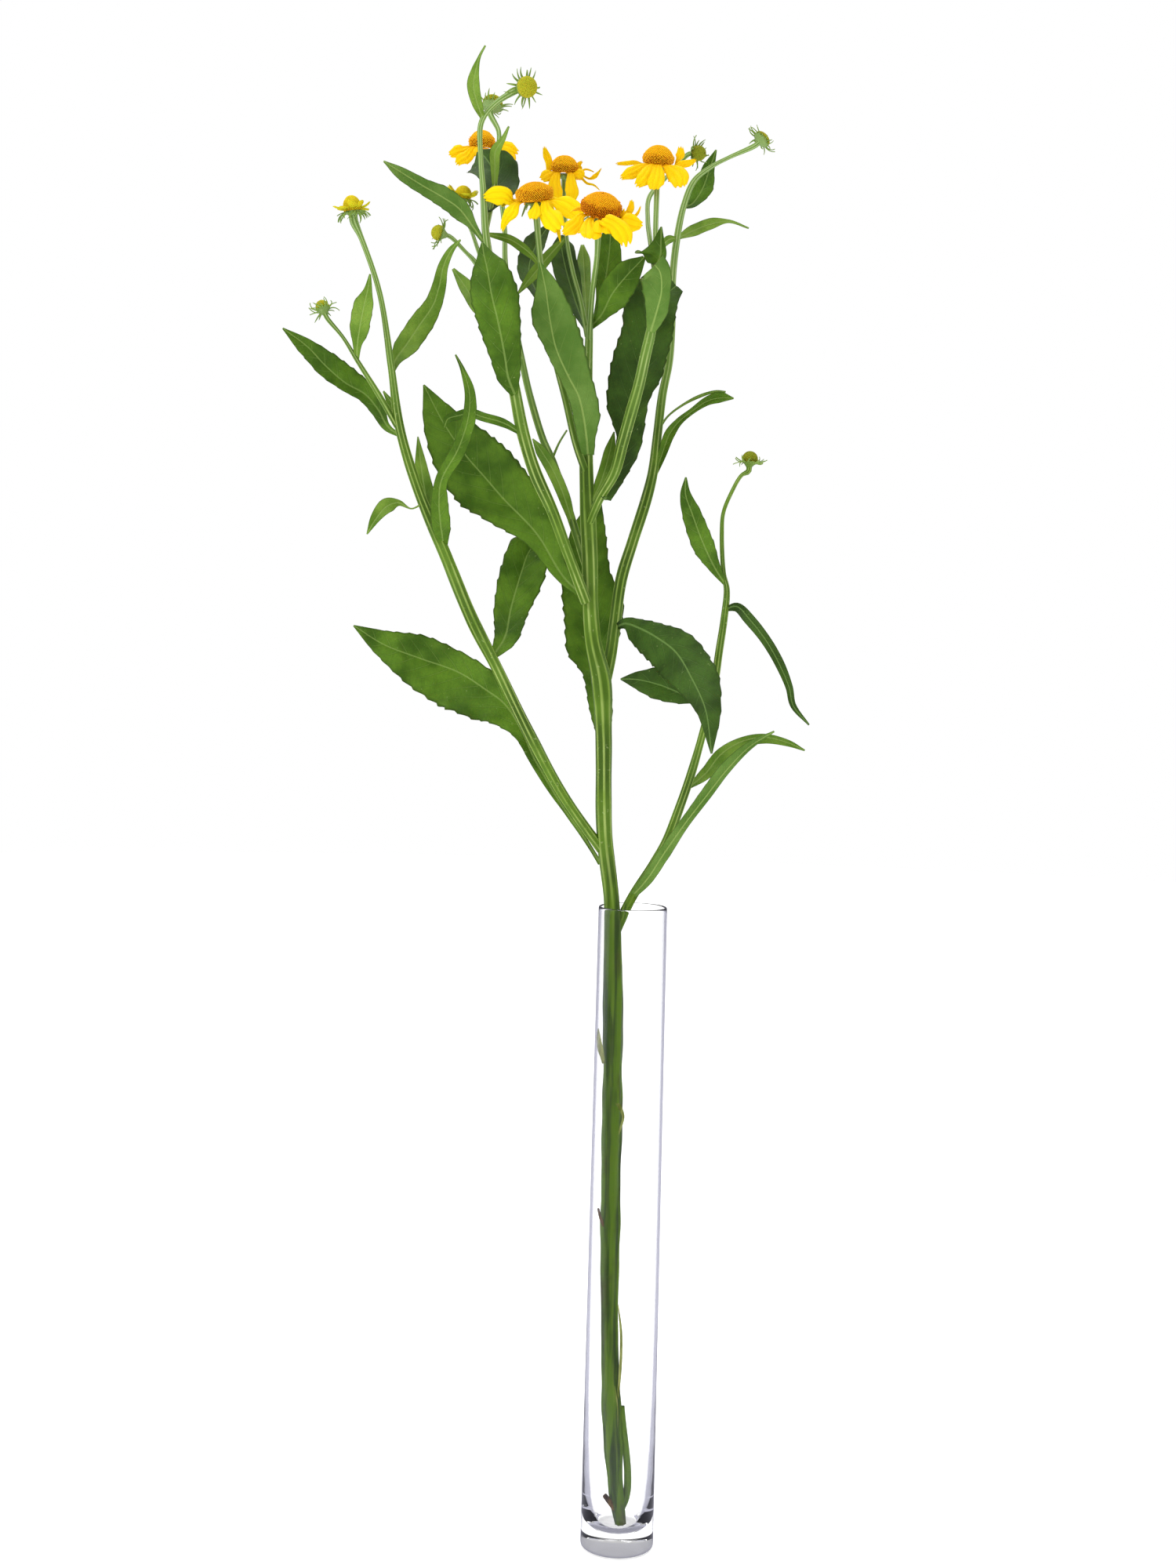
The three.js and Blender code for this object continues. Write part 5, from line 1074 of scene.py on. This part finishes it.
def leaf_material(name, deep, fresh, back, vein_tone="8fa858", rib_strength=0.6):
    """Leaf green, mottled, with a pale midrib, faint side veins and net, and a dull lighter underside."""
    g = material(name)
    reach, edge, vein, under = map(g.number, ("reach", "edge", "vein", "under"))
    colour = g.mix(g.remap(g.noise(55, 4), 0.32, 0.68), deep, fresh)
    colour = g.mix(g.remap(g.noise(900, 2), 0.35, 0.75, 0, 0.25), colour, deep)
    colour = g.mix(g.remap(g.cells(620), 0.0, 0.08, 0.1, 0.0), colour, fresh)
    colour = g.mix(g.remap(g.noise(650, 1), 0.74, 0.8, 0, 0.3), colour, "a9b878")
    line = g.math("ABSOLUTE", g.math("SUBTRACT", g.math("FRACT", vein), 0.5))
    side_vein = g.math("MULTIPLY", g.remap(line, 0.455, 0.5), g.remap(edge, 0.2, 0.95, 0.25, 0.04))
    colour = g.mix(side_vein, colour, vein_tone)
    # Painted shade: a dark band along each side of a side vein, where the blade dips into the vein's groove
    shade_beside_vein = g.math("MULTIPLY", g.remap(line, 0.36, 0.45), g.remap(line, 0.5, 0.45, 0, 0.3))
    colour = g.mix(shade_beside_vein, colour, deep)
    colour = g.mix(g.remap(edge, 0.88, 1.0, 0, 0.6), colour, "2a400c")
    rib_edge = g.math("ADD", g.math("MULTIPLY", g.number("rib"), 0.55), 0.2)
    rib = g.remap(g.math("DIVIDE", reach, rib_edge), 0.45, 1.1, rib_strength, 0.0)
    colour = g.mix(under, colour, g.mix(0.55, colour, back))
    colour = g.mix(rib, colour, vein_tone)
    grain = g.math("ADD", g.math("MULTIPLY", g.noise(1500, 3), 0.5), g.remap(g.cells(620), 0, 0.12, 0, 0.5))
    g.bump(grain, 0.00018, 0.6)
    rough = g.math("ADD", g.remap(g.noise(90, 2), 0.3, 0.7, 0.42, 0.56), g.math("MULTIPLY", under, 0.15))
    return g.finish(colour, rough, 0.15, Subsurface_Weight=0.05, Subsurface_Scale=0.001)


def stem_material(name):
    """Stem green: pale along the ridges and deep in the grooves, bruised in the vase, paler high up."""
    g = material(name)
    ridge = g.number("ridge")
    streak = g.noise(260, 3, stretch=(1, 1, 0.06))
    groove = g.mix(g.remap(g.noise(28, 3), 0.35, 0.65), "3f5c0c", "5b7d1c")
    crest = g.mix(g.remap(g.noise(40, 3), 0.35, 0.65), "7f9d3a", "a0b562")
    colour = g.mix(g.remap(ridge, 0.3, 1.0), groove, crest)
    colour = g.mix(g.remap(streak, 0.4, 0.75, 0, 0.5), colour, "4a6c12")
    colour = g.mix(g.remap(g.noise(500, 2), 0.66, 0.74, 0, 0.3), colour, "b4c283")
    aged = g.mix(g.remap(g.noise(260, 4, stretch=(1, 1, 0.05)), 0.4, 0.6), "2a4500", "5a7e00")
    aged = g.mix(g.remap(g.noise(60, 4, stretch=(1, 1, 0.25)), 0.56, 0.66, 0, 0.7), aged, "38280c")
    colour = g.mix(g.remap(g.along("Z"), 0.40, 0.33, 0, 0.85), colour, aged)
    tender = g.mix(g.remap(ridge, 0.2, 1.0), "77984a", "b3c88c")
    colour = g.mix(g.remap(g.along("Z"), 0.58, 0.74, 0, 0.75), colour, tender)
    grain = g.math("ADD", g.math("MULTIPLY", streak, 0.6), g.math("MULTIPLY", g.noise(1400, 2), 0.4))
    g.bump(grain, 0.00025, 0.7)
    rough = g.remap(g.noise(120, 2), 0.3, 0.7, 0.38, 0.55)
    return g.finish(colour, rough, 0.25, Subsurface_Weight=0.05, Subsurface_Scale=0.002)


def twig_material(name, deep, pale):
    """Dried or torn wood and skin."""
    g = material(name)
    colour = g.mix(g.remap(g.noise(300, 3, stretch=(1, 1, 0.2)), 0.3, 0.7), deep, pale)
    g.bump(g.noise(900, 3), 0.0004, 0.8)
    return g.finish(colour, 0.75, 0.15)


def ray_material(name, foot, blade, deeper):
    """Ray yellow: orange where it leaves the dome, with painted orange shade in the grooves of the pleats,
    finely lined, deeper behind.
    """
    g = material(name)
    side, past, under, tone = map(g.number, ("side", "past", "under", "tone"))
    colour = g.mix(g.remap(past, 0.0, 0.45), foot, blade)
    colour = g.mix(g.math("MULTIPLY", tone, 0.6), colour, deeper)
    # Painted shade: the foot's orange laid into the low grooves of the pleats
    waves = g.math("COSINE", g.math("MULTIPLY", side, 3 * math.pi))
    colour = g.mix(g.remap(waves, -0.5, -1.0, 0, 0.25), colour, foot)
    lines = g.math("SINE", g.math("MULTIPLY", side, 46.0))
    colour = g.mix(g.remap(lines, 0.4, 1.0, 0, 0.12), colour, foot)
    colour = g.mix(g.remap(g.noise(130, 3), 0.35, 0.75, 0, 0.5), colour, deeper)
    colour = g.mix(g.math("MULTIPLY", under, 0.6), colour, "f29a04")
    g.bump(g.math("ADD", g.math("MULTIPLY", lines, 0.4), g.noise(250, 2)), 0.0002, 0.6)
    rough = g.remap(g.noise(200, 2), 0.3, 0.7, 0.5, 0.68)
    return g.finish(colour, rough, 0.1, Subsurface_Weight=0.15, Subsurface_Scale=0.002)


def floret_material(name, closed, closed_tip, open_foot, open_tip):
    """Florets: one pair of colours where they are closed and another where they are ripe."""
    g = material(name)
    level, ripe, shade = map(g.number, ("level", "ripe", "shade"))
    rising = g.remap(level, 0.3, 1.0)
    colour = g.mix(ripe, g.mix(rising, closed, closed_tip), g.mix(rising, open_foot, open_tip))
    colour = g.mix(g.math("MULTIPLY", g.math("MULTIPLY", shade, ripe), 0.45), colour, open_foot)
    g.bump(g.noise(1800, 2), 0.0002, 0.5)
    return g.finish(colour, 0.75, 0.1, Subsurface_Weight=0.15, Subsurface_Scale=0.0015)


def glass_material(name):
    """Clear glass, with painted grey-violet shade where it is seen edge on, standing in for the dark edges
    that reflections draw on glass.
    """
    g = material(name)
    facing = g.nodes.new("ShaderNodeLayerWeight")
    facing.inputs["Blend"].default_value = 0.5
    # Painted edge shade: grey-violet mixed in by how edge-on the glass is seen, to darken its silhouettes
    colour = g.mix(g.remap(facing.outputs["Facing"], 0.72, 1.0), "ffffff", "b9b9cc")
    return g.finish(colour, 0.0, 0.2, IOR=1.46, Transmission_Weight=1.0)


# The vase
def add_vase(shape):
    """A clear tube, drawn thicker toward its heavy bottom, with a rounded rim."""
    outer = [(0.02, 0.0), (15.0, 0.0), (18.2, 0.1), (19.3, 0.5), (19.9, 1.3), (20.0, 2.4)]
    outer += [(20.0 - 1.2 * t, 2.4 + t * (VASE_HEIGHT - 4)) for t in np.linspace(0.05, 1, 24)]
    middle = VASE_RIM_RADIUS - 0.5 * VASE_WALL
    turns = np.linspace(0.1, np.pi - 0.1, 9)
    rim = [(middle + 0.5 * VASE_WALL * math.cos(t), VASE_HEIGHT - 1.2 + 1.2 * math.sin(t)) for t in turns]
    bore = [(VASE_RIM_RADIUS - VASE_WALL, VASE_HEIGHT - 4), (17.9, 260), (18.1, 180), (18.1, 120)]
    bore += [(17.8, 80), (17.2, 55), (16.4, 38), (15.5, 26), (14.1, 18), (12.3, 13.2), (9.5, 11)]
    bore += [(6, 10.3), (3, 10.05), (0.02, VASE_FLOOR)]
    profile = np.array(outer + rim + bore)
    fine = []
    for a, b in zip(profile, profile[1:]):
        steps = max(1, int(np.linalg.norm(b - a) / 4))
        fine += [a + (b - a) * k / steps for k in range(steps)]
    reach, height = np.array([*fine, profile[-1]]).T
    angle = 2 * math.pi * np.arange(VASE_SIDES) / VASE_SIDES
    rings = np.stack([
        reach[:, None] * np.cos(angle),
        reach[:, None] * np.sin(angle),
        np.broadcast_to(height[:, None], (len(height), VASE_SIDES)),
    ], axis=-1)
    add_tube(shape, rings)


# Assembly
STEM = stem_material("stem_green")
TWIG = twig_material("twig_brown", "3a2612", "7c6236")
PEEL = twig_material("peel_pale", "5c6a1c", "b9bf74")
LEAF_MID = leaf_material("leaf_mid", "38590a", "5c811e", "76934c", rib_strength=0.45)
LEAF_DULL = leaf_material("leaf_dull", "4f7426", "6a8b3c", "76934c", rib_strength=0.75)
LEAF_DARK = leaf_material("leaf_dark", "28400f", "40601c", "637f42", vein_tone="71904a")
LEAF_FRESH = leaf_material("leaf_fresh", "54781c", "7a9a38", "8ba35c")
RAY_LEMON = ray_material("ray_lemon", "f4ac00", "ffe000", "fed400")
RAY_GOLD = ray_material("ray_gold", "f2a400", "ffd500", "fcc400")
DISC = floret_material("disc_orange", "eaa206", "f6b810", "b86a04", "fcc020")
DISC_RED = floret_material("disc_russet", "e89c08", "f4b010", "8a3c04", "e6900e")
BUD = floret_material("bud_olive", "a8a41c", "b9b42c", "979a1c", "c4be38")
BUD_DARK = floret_material("bud_deep_olive", "6a7414", "8f9424", "56600f", "9a9c2c")
BUD_YELLOW = floret_material("bud_yellow", "d4b010", "e6cc20", "b8920c", "f0d828")
STUB = floret_material("stub_green_yellow", "c6be1c", "c6be1c", "c6be1c", "c6be1c")
GLASS = glass_material("clear_glass")

# The leaves that are not of the middle green
LEAF_TONES = (
    (LEAF_DULL, ("front_center", "front_right", "low_right", "upper_left")),
    (LEAF_DARK, ("dark_right", "behind_fork_left", "behind_left_bloom", "behind_back_bloom",
                 "front_low", "front_low_back", "far_right_drooping")),
    (LEAF_FRESH, ("far_left_upright", "left_upright", "top", "under_bloom_left", "right_small",
                  "low_right_back")),
)
LEAF_MATERIALS = {name: tone for tone, names in LEAF_TONES for name in names}
LEAF_CHANNELS = ("reach", "edge", "vein", "under", "rib")
FLORET_CHANNELS = ("level", "ripe", "shade")
# Which stalks of a shoot are dry twigs, by their place in its list
DEAD_STALKS = {"main_stem": (2, 3)}
RAY_LOOKS = {"bloom_left_front": RAY_LEMON}
# The florets' material and how far down the dome they are open, where it isn't the usual
DISC_LOOKS = {"bloom_right_front": (DISC_RED, 0.5), "bloom_left_front": (DISC, 0.45)}
BUD_LOOKS = {"bud_right": BUD_DARK, "bud_low_right": BUD_DARK}
BLOOM_CORE = 0.95
BLOOM_PITCH = 0.85
BUD_CORE = 0.97
BUD_PITCH = 0.62
BUD_RIPE_FROM = 0.75
BUD_STAND = 0.45

# Strips of skin that stand off the bruised stem inside the vase, with rows like those of the leaves
PEELS = (
    ((-13.8, 263.7, -2.2, 0.8), (-15.3, 271.4, -2.8, 1.5, 1.3), (-16.3, 277.4, -3, 1.2, 0.9),
     (-16.7, 282.6, -3.1, 0.2)),
    ((-7.7, 244.9, -1.5, 0.6), (-4.6, 239.9, -1.8, 1.3, 0.9), (-2.5, 234.8, -1.8, 0.9, 0.6),
     (-4.7, 225.2, -1.4, 0.5)),
    ((-1.7, 76.5, -2.4, 0.5), (-0.3, 96.7, -2.8, 0.9, 0.7), (-0.4, 116.1, -2.8, 0.8, 0.6),
     (-2.5, 131.5, -2.6, 0.25)),
    ((-3.3, 38.6, -3.2, 0.5), (-1.7, 60.1, -3.4, 0.9, 0.6), (-1.7, 77.3, -3.3, 0.6, 0.5),
     (-3.3, 86.8, -3, 0.2)),
)

vase_shape = Shape()
add_vase(vase_shape)
vase_shape.piece("vase_clear", GLASS, "glass", "vase")

for name, shoot in SHOOTS.items():
    green = Shape("ridge")
    brown = Shape("ridge")
    leafy = Shape(*LEAF_CHANNELS)
    dead = DEAD_STALKS.get(name, ())
    for k, rows in enumerate(shoot["stalks"]):
        swollen = SWOLLEN if name == "main_stem" and k == 0 else ()
        add_stalk(brown if k in dead else green, rows, swollen)
    for rows in shoot["stalks"]:
        if rows[-1][0] in ALL_HEADS:
            add_calyx(green, leafy, rows[-1][0])
    for rows in shoot.get("leaves", ()):
        add_leaf(leafy, rows, teeth=0.05, wave=0.03)
    green.piece(f"{name}_stalks", STEM, "stem", name)
    leafy.piece(f"{name}_bracts", LEAF_FRESH, "stem", name)
    if dead:
        brown.piece(f"{name}_twigs", TWIG, "stem", name)
        peels = Shape(*LEAF_CHANNELS)
        for rows in PEELS:
            add_leaf(peels, rows, fold=0.5, wave=0.2, waves=2.2, teeth=0)
        peels.piece(f"{name}_peels", PEEL, "stem", name)

for name, rows in LEAVES.items():
    blade = Shape(*LEAF_CHANNELS)
    add_leaf(blade, rows, **LEAF_LOOKS.get(name, {}))
    blade.piece(f"leaf_{name}_blade", LEAF_MATERIALS.get(name, LEAF_MID), "leaf", f"leaf_{name}")

for name, measures in HEADS.items():
    head = Head(measures)
    rays = Shape("side", "past", "tone", "under")
    for row in measures["rays"]:
        add_ray(rays, head, row)
    for rows in measures["petals"]:
        add_petal(rays, head, rows)
    rays.piece(f"{name}_petals", RAY_LOOKS.get(name, RAY_GOLD), "ray", f"{name}_rays")
    florets = Shape(*FLORET_CHANNELS)
    disc, ripe_from = DISC_LOOKS.get(name, (DISC, 0.6))
    add_dome_core(florets, head, BLOOM_CORE)
    add_florets(florets, head, BLOOM_PITCH, ripe_from)
    florets.piece(f"{name}_florets", disc, "disc", f"{name}_disc")

for name, measures in BUDS.items():
    head = Head(measures)
    florets = Shape(*FLORET_CHANNELS)
    add_dome_core(florets, head, BUD_CORE)
    add_florets(florets, head, BUD_PITCH, BUD_RIPE_FROM, BUD_STAND)
    if "yellow" in measures:
        stubs = Shape()
        add_stubs(stubs, head)
        stubs.piece(f"{name}_stubs", STUB, "disc", name)
        florets.piece(f"{name}_florets", BUD_YELLOW, "disc", name)
    else:
        florets.piece(f"{name}_florets", BUD_LOOKS.get(name, BUD), "bud", name)


# Floor, light and camera
FLOOR_RADIUS = 4.0
FLOOR_LEVEL = -0.0003
FLOOR_SIDES = 96
FLOOR_GLOW = 0.45
FLOOR_WHITE = ((0.93, 0.93, 0.93, 1), (0.95, 0.95, 0.95, 1))
FLOOR_MIRRORED = ((0.45, 0.45, 0.53, 1), (0.1, 0.1, 0.1, 1))
WHITE = (1.0, 1.0, 1.0, 1)
AMBIENT = (0.7, 0.7, 0.7, 1)
REFLECTED = (0.3, 0.3, 0.36, 1)
REFLECTED_ABOVE = (0.62, 0.62, 0.62, 1)
REFLECTED_IN_FRONT = (0.03, 0.03, 0.03, 1)
LIT_MIDDLE = np.array([-0.03, 0, 0.5])


def floor_material(name):
    """White with a soft glow of its own, but darker where the glass mirrors it, most in front of it."""
    g = material(name)
    mirrored = g.light("Glossy Depth")
    dim = g.mix(g.remap(g.along("Y"), -0.05, -0.3), *FLOOR_MIRRORED)
    colour = g.mix(mirrored, g.mix(g.remap(g.noise(3, 2), 0.3, 0.7), *FLOOR_WHITE), dim)
    g.feed(g.mix(mirrored, WHITE, dim), g.shader.inputs["Emission Color"])
    return g.finish(colour, 0.8, 0.0, Emission_Strength=FLOOR_GLOW)


def add_floor():
    """A round white floor under the vase. Past its edge the surroundings are as white as it is."""
    mesh = bpy.data.meshes.new("floor")
    turns = [2 * math.pi * k / FLOOR_SIDES for k in range(FLOOR_SIDES)]
    corners = [(FLOOR_RADIUS * math.cos(a), FLOOR_RADIUS * math.sin(a), FLOOR_LEVEL) for a in turns]
    mesh.from_pydata(corners, [], [tuple(range(FLOOR_SIDES))])
    mesh.materials.append(floor_material("floor_pale"))
    add_object("floor", mesh)


def add_softbox(name, location, size, power):
    """A square lamp that shines on the middle of the plant."""
    light = bpy.data.lights.new(name, "AREA")
    light.shape = "SQUARE"
    light.size = size
    light.energy = power
    back = unit(np.array(location) - LIT_MIDDLE)
    right = unit(np.cross([0, 0, 1.0], back))
    turned = Matrix(np.column_stack([right, np.cross(back, right), back]).tolist()).to_4x4()
    turned.translation = location
    add_object(name, light).matrix_world = turned


def set_world():
    """White behind everything, also through the glass, a dimmer even light on the plant, and a dark
    room in the reflections, which draws the edges of the glass."""
    g = Graph(bpy.data.worlds.new("studio"), "Generated")
    room = g.mix(g.remap(g.along("Z"), 0.2, 0.6, curve="LINEAR"), REFLECTED, REFLECTED_ABOVE)
    room = g.mix(g.remap(g.along("Y"), -0.3, -0.7, curve="LINEAR"), room, REFLECTED_IN_FRONT)
    seen = g.mix(g.light("Is Diffuse Ray"), WHITE, AMBIENT)
    g.feed(g.mix(g.light("Glossy Depth"), seen, room), g.nodes["Background"].inputs["Color"])
    bpy.context.scene.world = g.owner


def add_camera():
    data = bpy.data.cameras.new("camera")
    data.sensor_width = SENSOR
    data.sensor_fit = "AUTO"
    data.lens = LENS
    data.shift_y = SHIFT_UP
    data.clip_end = 50
    camera = add_object("camera", data)
    level = Matrix.Rotation(math.radians(90), 4, "X") @ Matrix.Rotation(TILT, 4, "Z")
    level.translation = EYE * MM
    camera.matrix_world = level
    bpy.context.scene.camera = camera


add_floor()
set_world()
add_softbox("overhead", (0.0, 0.3, 3.2), 2.6, 40)
add_softbox("key", (-1.3, -1.4, 1.5), 0.9, 15)
add_softbox("fill", (1.7, -1.0, 0.9), 1.2, 4)
add_camera()
bpy.context.scene.view_settings.view_transform = "Standard"

bpy.context.view_layer.update()
